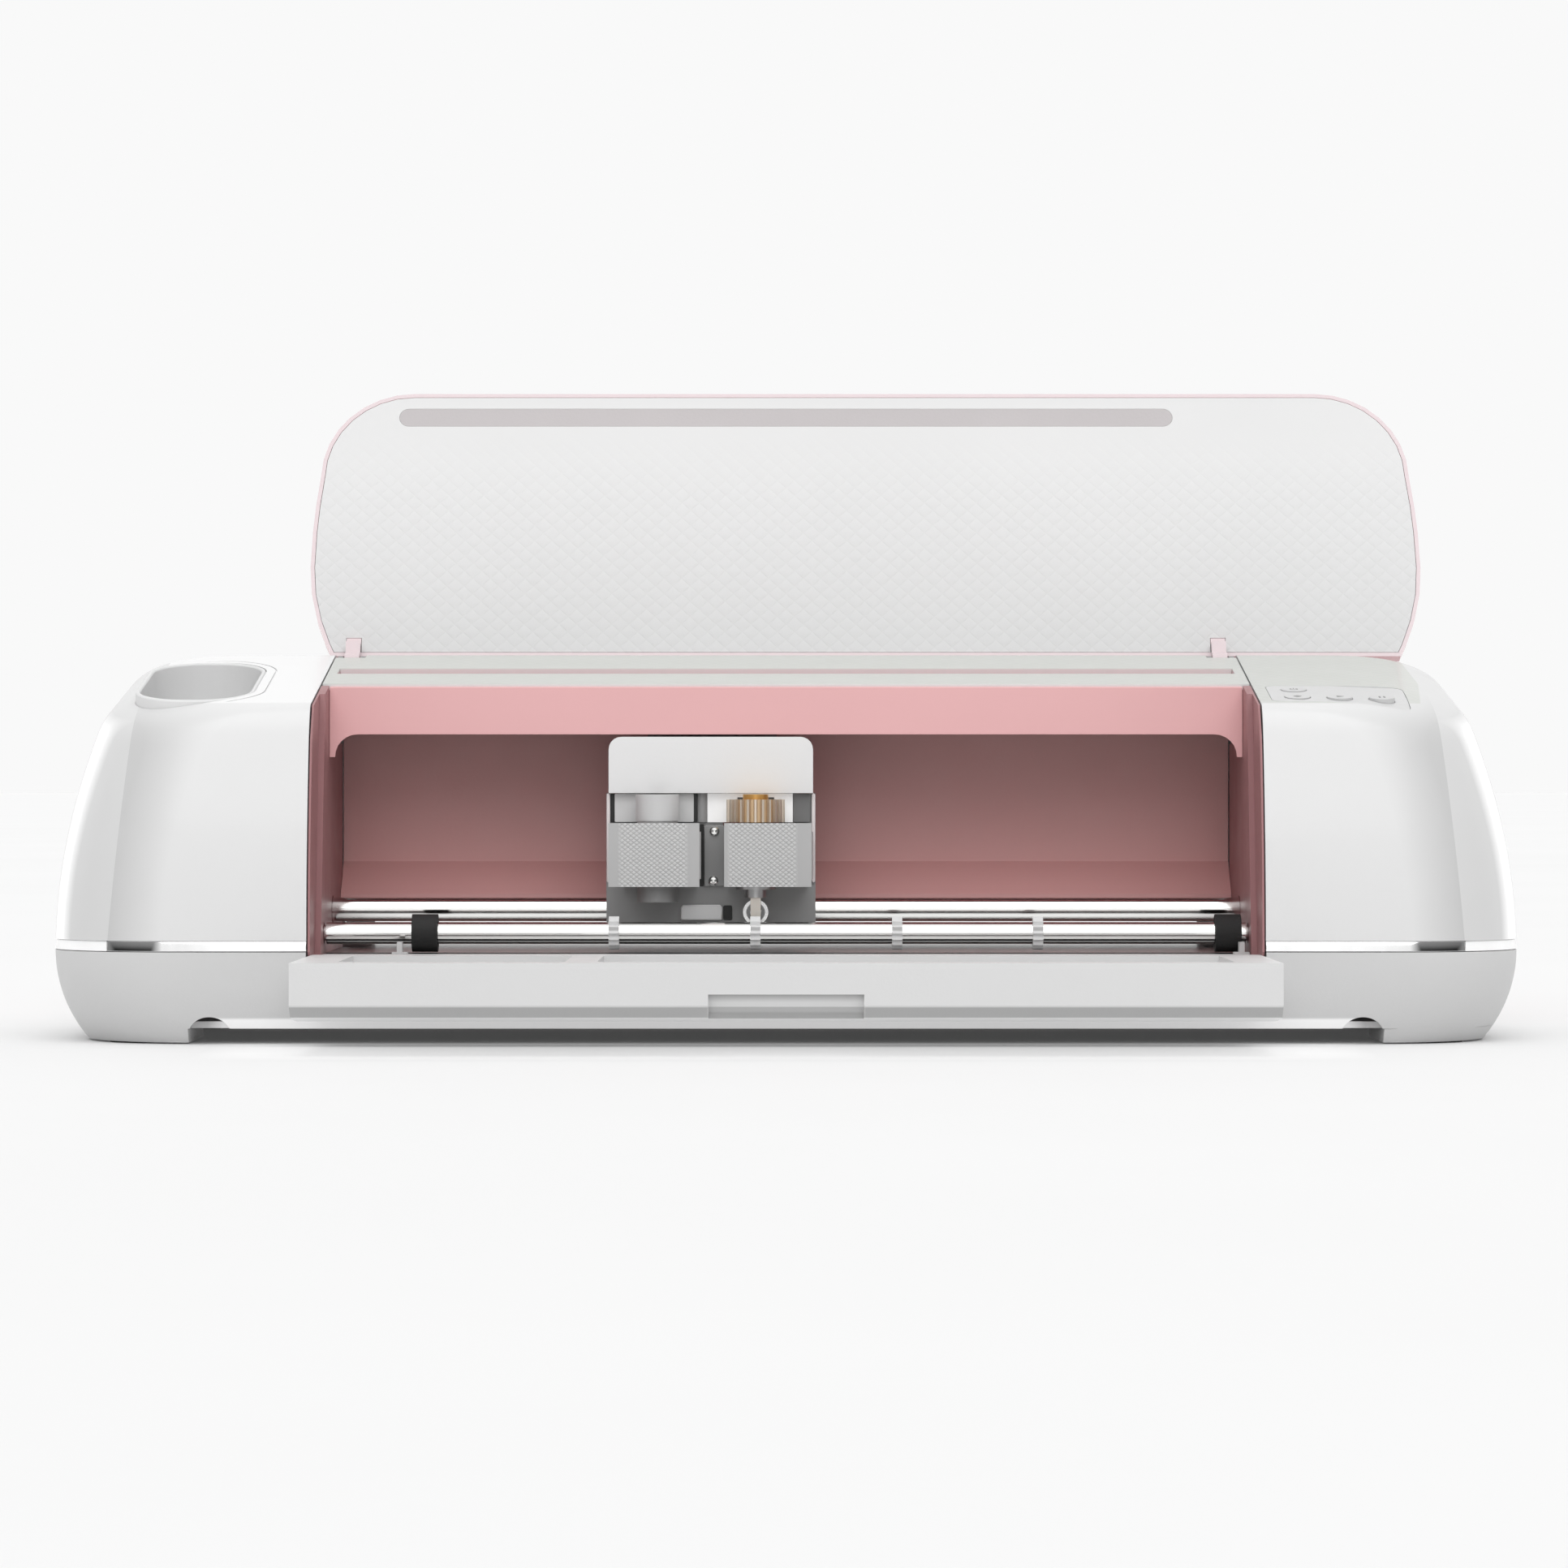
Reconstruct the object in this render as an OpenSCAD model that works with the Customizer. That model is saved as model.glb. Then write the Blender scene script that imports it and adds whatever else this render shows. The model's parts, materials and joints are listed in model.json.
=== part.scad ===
// Roller-fed cutting machine, shown with its lid and front door open.
// X runs along the machine, Y from front to back and Z up from the table.

/* [Casing] */
// Overall width of the base
body_w = 574; // [570:1:580]
// Depth of the closed machine
body_d = 180; // [180:1:184]
// Height of the crest above the table
crest_h = 154; // [153.5:0.5:156]
// Wall thickness of the moulded shells
wall = 2.5; // [2:0.25:2.75]
// Width of the front opening
opening_w = 368; // [366:1:370]

/* [Lid] */
// Length of the lid from hinge edge to free edge
lid_len = 120; // [112:1:121]
// Lean of the open lid behind the vertical
lid_lean = 22; // [15:1:30]
// Thickness of the closed lid
lid_t = 5.5; // [5:0.25:6]

/* [Front door] */
// Reach of the open door in front of its hinge
door_reach = 103.5; // [96:0.5:104]
// Thickness of the door
door_t = 20; // [19:0.5:20.5]

/* [Feed] */
// Radius of the driven feed roller
feed_r = 5; // [4.5:0.1:5]
// Radius of the rubber pinch rollers
pinch_r = 7.4; // [7:0.1:7.4]
// Radius of the star wheels
star_r = 6.5; // [5.5:0.1:6.6]

/* [Carriage] */
// Place of the carriage's middle along the rod
carriage_x = -29.8; // [-100:0.1:100]
// Radius of the guide rod
rod_r = 4.75; // [4.5:0.05:4.9]
// Bore of the accessory adapter
pen_r = 5.9; // [5:0.1:6]

/* [Keypad] */
// Radius of the round buttons
button_r = 5; // [4:0.5:5.5]

/* [Hidden] */

// Heights and planes of the casing
split_z = 36;
belly_z = 6.2;
foot_z = 0.6;
strip_h = 4;
deck_slope = 11;
rear_drop = 0.55;
crest_y = 44;
crest_soft = 1.2;
front_corner = 47;
rear_corner = 30;
side_lean = 22.4;
front_lean = 14;
base_round = 60;
half_open = opening_w / 2;
seam = 0.2;
jamb_t = 3;
jamb_in = half_open - jamb_t;
beam_y = -28.6;
beam_low = 120.3;
beam_top = 139.4;
back_y = 37;
bridge_low = 118;
far = 1000;
eps = 0.01;

// Hinges
lid_y = 46;
lid_z = 151;
lid_start = 4;
lid_gap = 4;
lid_mid_x = 33;
lid_half = 230;
lid_corner = 38;
lid_turn = deck_slope - (180 - 90 + deck_slope + lid_lean);
lug_x = 178;
lug_w = 6;
pin_r = 1.5;
fit = 0.05;
door_y = -74;
door_z = 29;
door_turn = 101;
door_pin_r = 2;
door_lug_x = 175;

// Feed path
mat_z = 34.5;
feed_y = -51;
feed_z = mat_z - feed_r;
star_z = 42.2;
star_xs = [-67.4, -12, 43.5, 98.6];
pinch_xs = [-141.4, 173];
plate_x = half_open + 1;
plate_t = 2.5;
journal_r = 3;
gear_x = plate_x + plate_t + 1.5;
feed_teeth = 40;
feed_pinion_teeth = 12;
feed_module = 0.8;
feed_mesh = (feed_teeth + feed_pinion_teeth) / 2 * feed_module + 0.15;

// Carriage and its drive
rod_y = -12;
rod_z = 50.5;
carriage_w = 81;
cover_low = 97;
cover_top = 119.3;
cover_front = -28.5;
cover_back = 15;
frame_front = -24.3;
frame_low = 45.5;
rail_y = 16;
rail_z = 126;
belt_y = 29.5;
belt_z = 126;
pulley_r = 5;
belt_t = 1.2;
belt_h = 6;
drive_x = 207;
idler_x = -198;
tool_y = -35.5;
tool_a_x = carriage_x - 21;
tool_b_x = carriage_x + 17.8;
clamp_low = 60;
clamp_high = 85;
socket_r = 8;
gate_front = -47.5;
gate_split = -37;
gate_t = 2.4;
tool_teeth = 24;
tool_pinion_teeth = 10;
tool_module = 0.9;
tool_mesh = (tool_teeth + tool_pinion_teeth) / 2 * tool_module + 0.15;
gear_low = 85.5;
gear_h = 9;
blade_r = 5;
blade_z = 50;
spindle_low = 55.6;
spindle_r = 3;

// Cup, keypad and sockets
cup_x = -232.5;
cup_y = -20;
cup_w = 47;
cup_d = 86;
cup_r = 22;
cup_floor = 66;
pad_x = 216.5;
pad_y = -48;
pad_w = 54;
pad_d = 34;
button_xs = [200, 216.5, 233];
button_row = -8;
power_row = 8;
inlet_x = 150;
usb_x = 122;
socket_z = 62;

// The frame's origin is under the middle of the machine as it stands open
lid_rear = lid_y + (lid_start + lid_len) * sin(lid_lean) + (lid_gap + lid_t) * cos(lid_lean);
door_front = door_y - door_reach;
shift_y = -(lid_rear + door_front) / 2;

// ---------- outline functions ----------

// How far a softened edge has turned in at height t, from 0 to its full depth
function shoulder(t, start, depth, power) =
  t <= start ? 0 : depth * (1 - pow(1 - pow(min(1, (t - start) / (1 - start)), power), 1 / power));
function side_half(t) = body_w / 2 - side_lean * t * t - shoulder(t, 0.82, 48, 3);
function front_face(t) = -body_d / 2 + front_lean * t * t + shoulder(t, 0.9, 5, 2);
function rear_face(t) = body_d / 2 - 3 * t * t - shoulder(t, 0.75, 8, 2);
// Height of the deck, rising to the crest and falling behind it
function rise(y) = crest_h + (y - crest_y) * tan(deck_slope);
function fall(y) = crest_h - (y - crest_y) * rear_drop;
function deck_z(y) = -crest_soft * ln(exp(-(rise(y) - crest_h) / crest_soft)
  + exp(-(fall(y) - crest_h) / crest_soft)) + crest_h;

// One side of a rounded outline, from its front edge round to its rear edge
function half_outline(w, front, rear, cf, cr, steps, stations) = concat(
  [for (k = [0:steps]) [w - cf + cf * sin(k * 90 / steps), front + cf - cf * cos(k * 90 / steps)]],
  [for (y = stations) [w, y]],
  [for (k = [0:steps]) [w - cr + cr * cos(k * 90 / steps), rear - cr + cr * sin(k * 90 / steps)]]);

function mirrored(points) = [for (k = [len(points) - 1:-1:0]) [-points[k][0], points[k][1], points[k][2]]];

// Triangles that close a stack of rings, each made of a right and a mirrored left half
function loft_faces(rings, half) = let (n = 2 * half) concat(
  [for (j = [0:rings - 2]) for (i = [0:n - 1])
    let (a = j * n + i, b = j * n + (i + 1) % n) each [[a, a + n, b + n], [a, b + n, b]]],
  [for (i = [0:half - 2])
    let (r0 = i, r1 = i + 1, l0 = n - 1 - i, l1 = n - 2 - i) each [[r0, r1, l1], [r0, l1, l0]]],
  [for (i = [0:half - 2])
    let (q = (rings - 1) * n, r0 = q + i, r1 = q + i + 1, l0 = q + n - 1 - i, l1 = q + n - 2 - i)
    each [[r0, l0, l1], [r0, l1, r1]]]);

module loft(halves) {
  points = [for (h = halves) each concat(h, mirrored(h))];
  polyhedron(points, loft_faces(len(halves), len(halves[0])), convexity = 8);
}

corner_steps = 6;
side_stations = [-20, 0, 20, 36, 40, 42, 44, 46, 48];
rise_steps = [0, 0.2, 0.4, 0.6, 0.75, 0.85, 0.91, 0.95, 0.975, 0.99, 1];

// Upper casing as a solid; inset gives the inner face of its wall, which starts lower
module upper_solid(inset) {
  start = inset > 0 ? split_z - 2 : split_z;
  loft([for (t = rise_steps)
    [for (p = half_outline(side_half(t) - inset, front_face(t) + inset, rear_face(t) - inset,
        front_corner - inset, rear_corner - inset, corner_steps, side_stations))
      [p[0], p[1], start + t * (deck_z(p[1]) - inset * 1.05 - start)]]]);
}

module upper_shell() {
  difference() {
    upper_solid(0);
    upper_solid(wall);
  }
}

// Base as a solid between two heights; its sides tuck in below the split
function tuck(z) = base_round - sqrt(base_round * base_round - (split_z - z) * (split_z - z));
module base_solid(inset, low, high) {
  steps = 5;
  loft([for (k = [0:steps])
    let (z = low + (high - low) * k / steps, d = tuck(min(z, split_z)) + inset)
    [for (p = half_outline(body_w / 2 - d, -body_d / 2 + d, body_d / 2 - d,
        front_corner - inset, rear_corner - inset, corner_steps, [])) [p[0], p[1], z]]]);
}

// Joins the facets of a moulded shell into one mesh, at its own size
module moulded() {
  resize([0, 0, 0]) union() children();
}

// Everything outside the crease between the front fascia and one side cap
module cap_zone(side) {
  low_x = 262;
  high_x = 250.9;
  high_z = 160;
  rotate([90, 0, 0])
    linear_extrude(height = far, center = true)
      polygon([[side * low_x, 30], [side * low_x, split_z], [side * high_x, high_z],
        [side * far, high_z], [side * far, 30]]);
}

// A box from two opposite corners
module block(low, high) {
  translate(low) cube(high - low);
}

// A box from a place out to one side of the machine, between two corners in Y and Z
module side_block(side, near, low, high) {
  scale([side, 1, 1]) block([near, low[0], low[1]], [far, high[0], high[1]]);
}

// A closed outline from its right half
function both_sides(right) = concat(right, [for (k = [len(right) - 1:-1:0]) [-right[k][0], right[k][1]]]);

// A round bar along X between two places
module x_bar(r, x0, x1, y, z) {
  translate([x0, y, z]) rotate([0, 90, 0]) cylinder(r = r, h = x1 - x0, $fn = 48);
}

// A profile in the YZ plane, pushed along X
module x_extrude(x0, x1, points) {
  translate([x0, 0, 0])
    rotate([90, 0, 90])
      linear_extrude(height = x1 - x0) polygon(points);
}

// A profile in the XZ plane, pushed along Y
module y_extrude(y0, y1, points) {
  translate([0, y1, 0])
    rotate([90, 0, 0])
      linear_extrude(height = y1 - y0) polygon(points);
}

function round_rect(w, d, r, steps) = [for (c = [0:3]) for (k = [0:steps])
  let (a = c * 90 + k * 90 / steps, sx = (c == 0 || c == 3) ? 1 : -1, sy = c < 2 ? 1 : -1)
  [sx * (w / 2 - r) + r * cos(a), sy * (d / 2 - r) + r * sin(a)]];

// Gear outline with straight-sided teeth
function gear_outline(teeth, m) = let (pitch = 360 / teeth, rp = teeth * m / 2)
  [for (i = [0:teeth - 1]) each [
    for (c = [[-0.30, -1.15], [-0.13, 0.85], [0.13, 0.85], [0.30, -1.15]])
      (rp + c[1] * m) * [cos((i + c[0]) * pitch), sin((i + c[0]) * pitch)]]];

// The deck's own tilted frame at a place on it
module on_deck(x, y) {
  translate([x, y, rise(y)]) rotate([deck_slope, 0, 0]) children();
}

// ---------- casing ----------

foot_ys = [[-body_d / 2, -28], [34, body_d / 2]];
pad_ys = [-58, 58];
pad_place_x = body_w / 2 - 33;
foot_in = 231;
screw_places = [for (x = [-200, 0, 200]) for (y = [-40, 62]) [x, y]];
screw_r = 1.5;
screw_head_r = 3.2;
screw_len = 6.5;
mat_half = 172;

module base_tub() color("gainsboro") {
  moulded() difference() {
    union() {
      base_solid(0, belly_z, split_z);
      for (side = [-1, 1]) for (f = foot_ys)
        intersection() {
          base_solid(0, foot_z, belly_z + 1);
          side_block(side, foot_in, [f[0], foot_z], [f[1], belly_z + 1]);
        }
    }
    base_solid(wall, belly_z + wall, split_z + 1);
    door_recess();
    block([-mat_half, 70, mat_z - 2.6], [mat_half, far, split_z + 1]);
    for (side = [-1, 1]) for (y = pad_ys)
      translate([side * pad_place_x, y, -1]) cylinder(r = 10.1, h = 3.2, $fn = 48);
    for (p = screw_places) translate([p[0], p[1], 0]) {
      cylinder(r = screw_r + 0.1, h = 12, $fn = 24);
      cylinder(r = screw_head_r + 0.2, h = belly_z + 1.5, $fn = 32);
    }
    for (side = [-1, 1])
      translate([side * 222.5, 12 - body_d / 2, belly_z - 3]) rotate([90, 0, 0])
        cylinder(r = 7.5, h = 40, $fn = 32);
  }
}

// Room in the base for the door and its swing
module door_recess() {
  block([-half_open - 0.7, -far, 13], [half_open + 0.7, -62, split_z + 2]);
}

module foot_pads() color("dimgray")
  for (side = [-1, 1]) for (y = pad_ys)
    translate([side * pad_place_x, y, 0]) cylinder(r = 10, h = 2.2, $fn = 48);

module base_screws() color("silver")
  for (p = screw_places) translate([p[0], p[1], 0]) {
    translate([0, 0, belly_z + 0.1]) cylinder(r = screw_head_r, h = 1.3, $fn = 32);
    translate([0, 0, belly_z + 1.3]) cylinder(r = screw_r, h = screw_len, $fn = 24);
  }

// The part of the upper shell that belongs to one housing
module housing_zone(side) {
  difference() {
    side_block(side, half_open + 0.5, [-far, split_z], [far, far]);
    cap_zone(side);
    block([-far, -far, split_z - 1], [far, -40, split_z + strip_h]);
  }
}

module left_housing() color("white")
  moulded() difference() {
    intersection() {
      upper_shell();
      housing_zone(-1);
    }
    cup_prism(0.2, split_z, far);
  }

module right_housing() color("white")
  moulded() difference() {
    intersection() {
      upper_shell();
      housing_zone(1);
    }
    on_deck(pad_x, pad_y)
      block([-pad_w / 2 - seam, -pad_d / 2 - seam, -8], [pad_w / 2 + seam, pad_d / 2 + seam, 8]);
  }

module side_cap(side) color("white")
  moulded() difference() {
    intersection() {
      upper_shell();
      cap_zone(side);
    }
    cup_prism(0.2, split_z, far);
  }
module left_side_cap() side_cap(-1);
module right_side_cap() side_cap(1);

module trim_strips() color("silver")
  moulded() intersection() {
    upper_shell();
    for (side = [-1, 1])
      difference() {
        side_block(side, half_open + 0.5, [-far, split_z], [-40, split_z + strip_h]);
        cap_zone(side);
      }
  }

module rear_cover() color("white")
  moulded() difference() {
    intersection() {
      upper_shell();
      block([-half_open, 60, split_z], [half_open, far, bridge_low]);
    }
    block([-mat_half, 60, split_z - 1], [mat_half, far, 46]);
    translate([inlet_x, 0, socket_z]) rotate([-90, 0, 0]) cylinder(r = 5, h = far, $fn = 48);
    block([usb_x - 7, 60, socket_z - 6.5], [usb_x + 7, far, socket_z + 6.5]);
  }

dock_y = 3.4;
dock_half = 182;
dock_w = 12.5;
dock_depth = 12;
dock_low = rise(dock_y) - wall - dock_depth;

module top_bridge() color("white")
  moulded() difference() {
    intersection() {
      upper_shell();
      block([-half_open, beam_y + 2.7, bridge_low], [half_open, far, far]);
    }
    block([-dock_half + 2, dock_y - dock_w / 2, bridge_low], [dock_half - 2, dock_y + dock_w / 2, far]);
    for (side = [-1, 1])
      block([side * lug_x - 6, lid_y - 11, lid_z - 9], [side * lug_x + 6, lid_y + 12, far]);
  }

// Beam across the opening, with quarter-round drops at its ends
module bridge_fascia() color("rosybrown") {
  drop_r = 9;
  half = jamb_in - seam;
  arcs = [for (k = [0:6]) [half - 2 - drop_r * (1 - sin(k * 15)), beam_low - drop_r * (1 - cos(k * 15))]];
  difference() {
    y_extrude(beam_y, beam_y + 2.6, both_sides(concat(arcs, [[half, beam_low - drop_r], [half, beam_top]])));
    translate([0, 0, -1.1]) on_deck(0, 0) block([-far, -60, 0], [far, 60, 40]);
  }
}

// Rose channel that lines the slot in the deck
module dock_liner() color("rosybrown")
  difference() {
    block([-dock_half, dock_y - dock_w / 2 - 1.4, dock_low], [dock_half, dock_y + dock_w / 2 + 1.4, crest_h]);
    block([-dock_half + 2, dock_y - dock_w / 2, dock_low + 1.5], [dock_half - 2, dock_y + dock_w / 2, far]);
    on_deck(0, dock_y) block([-far, -40, -wall * 1.05 - 0.15], [far, 40, 40]);
  }

// Rear wall of the tool space, with the ledge over the mat's way out
module back_wall() color("rosybrown")
  x_extrude(-jamb_in + seam, jamb_in - seam, [
    [back_y, 145], [back_y, 69], [22, 56], [22, 46],
    [22 + wall, 46], [22 + wall, 54.9], [back_y + wall, 67.9], [back_y + wall, 145]]);

// Room for the shut and swinging door, in front of the shut door's inner face
module door_rebate() {
  half = door_half + 0.3;
  boss_r = 5.4;
  difference() {
    x_extrude(-half, half, [door_point(-20, door_inner - 0.4), door_point(far, door_inner - 0.4),
      door_point(far, far), door_point(-20, far)]);
    x_bar(boss_r, -far, far, door_y, door_z);
  }
}

// End walls of the opening, cut to the casing's own profile and thinned where the door shuts
module jambs() color("rosybrown") {
  inset = 0.4;
  front = [for (k = [0:8]) let (t = k / 8)
    [front_face(t) + inset, split_z + t * (rise(front_face(t)) - split_z) - inset * t]];
  top = [for (y = [-40, -20, 0, 20, 34]) [y, rise(y) - wall - 1]];
  outline = concat([[door_y + 20, 14], [-68, 14], [-86, 31.7]], front,
    [[beam_y - 0.3, rise(beam_y) - inset], [beam_y - 0.3, rise(beam_y) - wall - 1]],
    [for (p = top) if (p[0] > beam_y) p], [[34, 14]]);
  for (side = [-1, 1])
    difference() {
      x_extrude(min(side * jamb_in, side * half_open), max(side * jamb_in, side * half_open), outline);
      through_holes(side, 1);
      block([-far, rail_y - 5, rail_z - 9], [far, 60, far]);
      block([-far, dock_y - dock_w / 2 - 1.7, dock_low - 0.3], [far, dock_y + dock_w / 2 + 1.7, far]);
      door_rebate();
    }
}

// Holes for the shafts and rods that cross an end wall, with some air round them
module through_holes(side, air) {
  x0 = side * (half_open + 5) - 15;
  x_bar(journal_r + air, x0, x0 + 30, feed_y, feed_z);
  x_bar(journal_r + air, x0, x0 + 30, feed_y, star_z);
  x_bar(rod_r + air, x0, x0 + 30, rod_y, rod_z);
  x_bar(door_pin_r + fit, x0, x0 + 30, door_y, door_z);
}

module cup_prism(grow, low, high) {
  translate([cup_x, cup_y, low])
    linear_extrude(height = high - low)
      polygon(round_rect(cup_w + 2 * grow, cup_d + 2 * grow, cup_r + grow, 8));
}

// Deep cup in the left housing, its rim sloping with the deck
module cup_liner() color("lightgray")
  difference() {
    cup_prism(0, cup_floor, 170);
    cup_prism(-1.8, cup_floor + 2, 171);
    on_deck(cup_x, cup_y) block([-60, -90, 0], [60, 90, 60]);
  }

// ---------- keypad ----------

// Cut from the deck itself, so it follows the deck's curve
module keypad_panel() color("whitesmoke")
  moulded() difference() {
    intersection() {
      upper_shell();
      on_deck(pad_x, pad_y)
        translate([0, 0, -8]) linear_extrude(height = 12) polygon(round_rect(pad_w, pad_d, 4, 5));
    }
    on_deck(pad_x, pad_y) {
      for (x = button_xs)
        translate([x - pad_x, button_row, -9]) cylinder(r = button_r + 0.25, h = 14, $fn = 48);
      translate([button_xs[0] - pad_x, power_row, -9]) cylinder(r = button_r + 0.25, h = 14, $fn = 48);
    }
  }

module button_board() color("darkgreen")
  on_deck(pad_x, pad_y) block([-25, -15, -8.6], [25, 15, -7]);

// One button for each column; they sit lower towards the right, where the deck rounds off
button_drops = [0, 0.06, 0.35];
module deck_button(column, row) color("silver")
  on_deck(button_xs[column], pad_y)
    translate([0, row, -4.65 - button_drops[column]]) cylinder(r = button_r, h = 5, $fn = 48);
module power_button() deck_button(0, power_row);
module load_button() deck_button(0, button_row);
module go_button() deck_button(1, button_row);
module pause_button() deck_button(2, button_row);

// ---------- lid, drawn shut and then turned open ----------

module lid_pose() {
  translate([0, lid_y, lid_z]) rotate([lid_turn, 0, 0]) children();
}

// Half the lid's width at a distance from its hinge
function lid_side(s) = lid_half - (s < 44 ? 10 * pow((44 - s) / 40, 2) : 3 * pow((s - 44) / 42, 2));
function lid_right(inset) = let (r = lid_corner, knee = lid_start + lid_len - r, w = lid_side(knee))
  concat(
    [for (s = [lid_start + inset, 10, 20, 32, 44, 60, 72]) [lid_side(s) - inset, -s]],
    [for (k = [0:8]) [w - r + (r - inset) * cos(k * 11.25), -(knee + (r - inset) * sin(k * 11.25))]]);
function lid_outline(inset) = both_sides(lid_right(inset));

module lid_slab(inset, low, high) {
  translate([lid_mid_x, 0, low])
    linear_extrude(height = high - low) polygon(lid_outline(inset));
}

skin_t = 3;
module lid_shell() color("pink")
  lid_pose() difference() {
    union() {
      lid_slab(0, lid_gap, lid_gap + lid_t);
      for (side = [-1, 1]) {
        x_bar(3.5, side * lug_x - lug_w / 2, side * lug_x + lug_w / 2, 0, 0);
        block([side * lug_x - lug_w / 2, -9, 0], [side * lug_x + lug_w / 2, 0, lid_gap + 1]);
      }
    }
    difference() {
      lid_slab(1.6, lid_gap - 1, lid_gap + lid_t - skin_t);
      for (side = [-1, 1])
        block([side * lug_x - lug_w / 2, -12, 0], [side * lug_x + lug_w / 2, 0, lid_gap + lid_t]);
    }
    for (side = [-1, 1])
      x_bar(pin_r + fit, side * lug_x - 9, side * lug_x + 9, 0, 0);
  }

grip_half = 162;
grip_h = 8;
grip_place = -(lid_start + lid_len - 11);
module grip_bar(grow, low, high) {
  r = grip_h / 2 + grow;
  block([-grip_half + grip_h / 2, grip_place - r, low], [grip_half - grip_h / 2, grip_place + r, high]);
  for (side = [-1, 1])
    translate([side * (grip_half - grip_h / 2), grip_place, low]) cylinder(r = r, h = high - low, $fn = 32);
}

module lid_inner_panel() color("white")
  lid_pose() difference() {
    lid_slab(1.8, lid_gap, lid_gap + lid_t - skin_t);
    for (side = [-1, 1])
      block([side * lug_x - lug_w / 2 - seam, -12 - seam, 0], [side * lug_x + lug_w / 2 + seam, 0, far]);
    grip_bar(0.1, 0, lid_gap + 1.4);
  }

module lid_grip_strip() color("gainsboro")
  lid_pose() grip_bar(0, lid_gap, lid_gap + 1.3);

// Brackets under the crest, each with the pin that one lid lug turns on
module lid_brackets() color("silver")
  for (side = [-1, 1]) {
    for (x = [-5.6, 3.6])
      block([side * lug_x + x, lid_y - 3, 140], [side * lug_x + x + 2, lid_y + 3, lid_z + 2]);
    block([side * lug_x - 5.6, lid_y - 3, 137], [side * lug_x + 5.6, lid_y + 3, 140 + eps]);
    x_bar(pin_r, side * lug_x - 4, side * lug_x + 4, lid_y, lid_z);
  }

// ---------- front door, drawn shut and then turned down ----------

module door_pose() {
  translate([0, door_y, door_z]) rotate([door_turn, 0, 0]) translate([0, -door_y, -door_z]) children();
}

// Place in the shut door: up it from the hinge, and out from the hinge's plane
function door_point(up, out) = [door_y - out * sin(door_turn) - up * cos(door_turn),
  door_z + up * sin(door_turn) - out * cos(door_turn)];
door_half = half_open - 1.1;
door_inner = -5.7;
door_outer = door_inner + door_t;
function door_bulge(up) = 3.4 * (1 - pow((up - 52) / 48, 2));

door_steps = 10;
door_heel = 6;
door_edge = 5;
function door_skin(extra) = [for (k = [0:door_steps])
  let (up = door_heel + (door_reach - door_edge - door_heel) * k / door_steps)
  door_point(up, door_outer + door_bulge(up) * (1 - extra / door_t) - extra)];

// Trays sunk in the door, each from its left end to its right, and how far up the door they run
wells = [[-166, -82], [-70, 166]];
well_foot = 22;
well_head = 90;
module front_door() color("gainsboro")
  door_pose() difference() {
    union() {
      x_extrude(-door_half, door_half, concat(door_skin(0),
        [door_point(door_reach, door_outer - 4.4), door_point(door_reach, door_inner + 2.2),
         door_point(door_heel, door_inner + 2.2)]));
      for (side = [-1, 1]) {
        x_bar(4.6, side * door_lug_x - 4, side * door_lug_x + 4, door_y, door_z);
        x_extrude(side * door_lug_x - 4, side * door_lug_x + 4, [door_point(0, -4), door_point(0, 4),
          door_point(door_heel + 1, 4), door_point(door_heel + 1, -3.4)]);
      }
    }
    for (w = wells)
      x_extrude(w[0], w[1], [door_point(well_foot, -far), door_point(well_foot, door_outer - 4),
        door_point(well_head, door_outer - 4), door_point(well_head, -far)]);
    finger_scoop();
    for (side = [-1, 1])
      x_bar(door_pin_r + fit, side * door_lug_x - 9, side * door_lug_x + 9, door_y, door_z);
  }

// Hollow in the outer edge of the door for the fingers
scoop_half = 28.7;
scoop_deep = 8.5;
module finger_scoop() {
  start = door_reach - 9;
  past = door_reach + 9;
  floor = door_outer - scoop_deep;
  x_extrude(-scoop_half, scoop_half, [
    door_point(start, door_outer + 20), door_point(start, door_outer - 1),
    door_point(door_reach - 2, floor), door_point(past, floor), door_point(past, door_outer + 20)]);
}

module door_inner_panel() color("whitesmoke")
  door_pose() difference() {
    x_extrude(-door_half, door_half, [door_point(door_heel, door_inner + 2.2),
      door_point(door_heel, door_inner), door_point(door_reach, door_inner),
      door_point(door_reach, door_inner + 2.2)]);
    for (w = wells)
      x_extrude(w[0], w[1],
        [door_point(well_foot, -far), door_point(well_foot, 0),
          door_point(well_head, 0), door_point(well_head, -far)]);
  }

module door_pins() color("silver")
  for (side = [-1, 1])
    x_bar(door_pin_r, side * 177.2 - 7.2, side * 177.2 + 7.2, door_y, door_z);

// ---------- chassis and feed ----------

module side_plates() color("silver")
  for (side = [-1, 1])
    difference() {
      x_extrude(side * (plate_x + plate_t / 2) - plate_t / 2, side * (plate_x + plate_t / 2) + plate_t / 2,
        [[-62, 12], [-62, 127], [42, 147], [44, 147], [44, 12]]);
      x_bar(journal_r + fit, side * plate_x - 9, side * plate_x + 9, feed_y, feed_z);
      x_bar(journal_r + fit, side * plate_x - 9, side * plate_x + 9, feed_y, star_z);
      x_bar(rod_r + 0.02, side * plate_x - 9, side * plate_x + 9, rod_y, rod_z);
      block([-far, rail_y - 2.1, rail_z - 4.1], [far, rail_y + 2.1, rail_z + 4.1]);
      block([-far, belt_y - 8, belt_z - 6], [far, belt_y + 8, belt_z + 6]);
    }

module platen() color("silver") {
  block([-180.6, -44.6, 32.4], [180.6, 21.6, mat_z - 0.2]);
  block([-mat_half + 1, 21.6 - eps, 32.4], [mat_half - 1, 86, mat_z - 0.2]);
}

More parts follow.
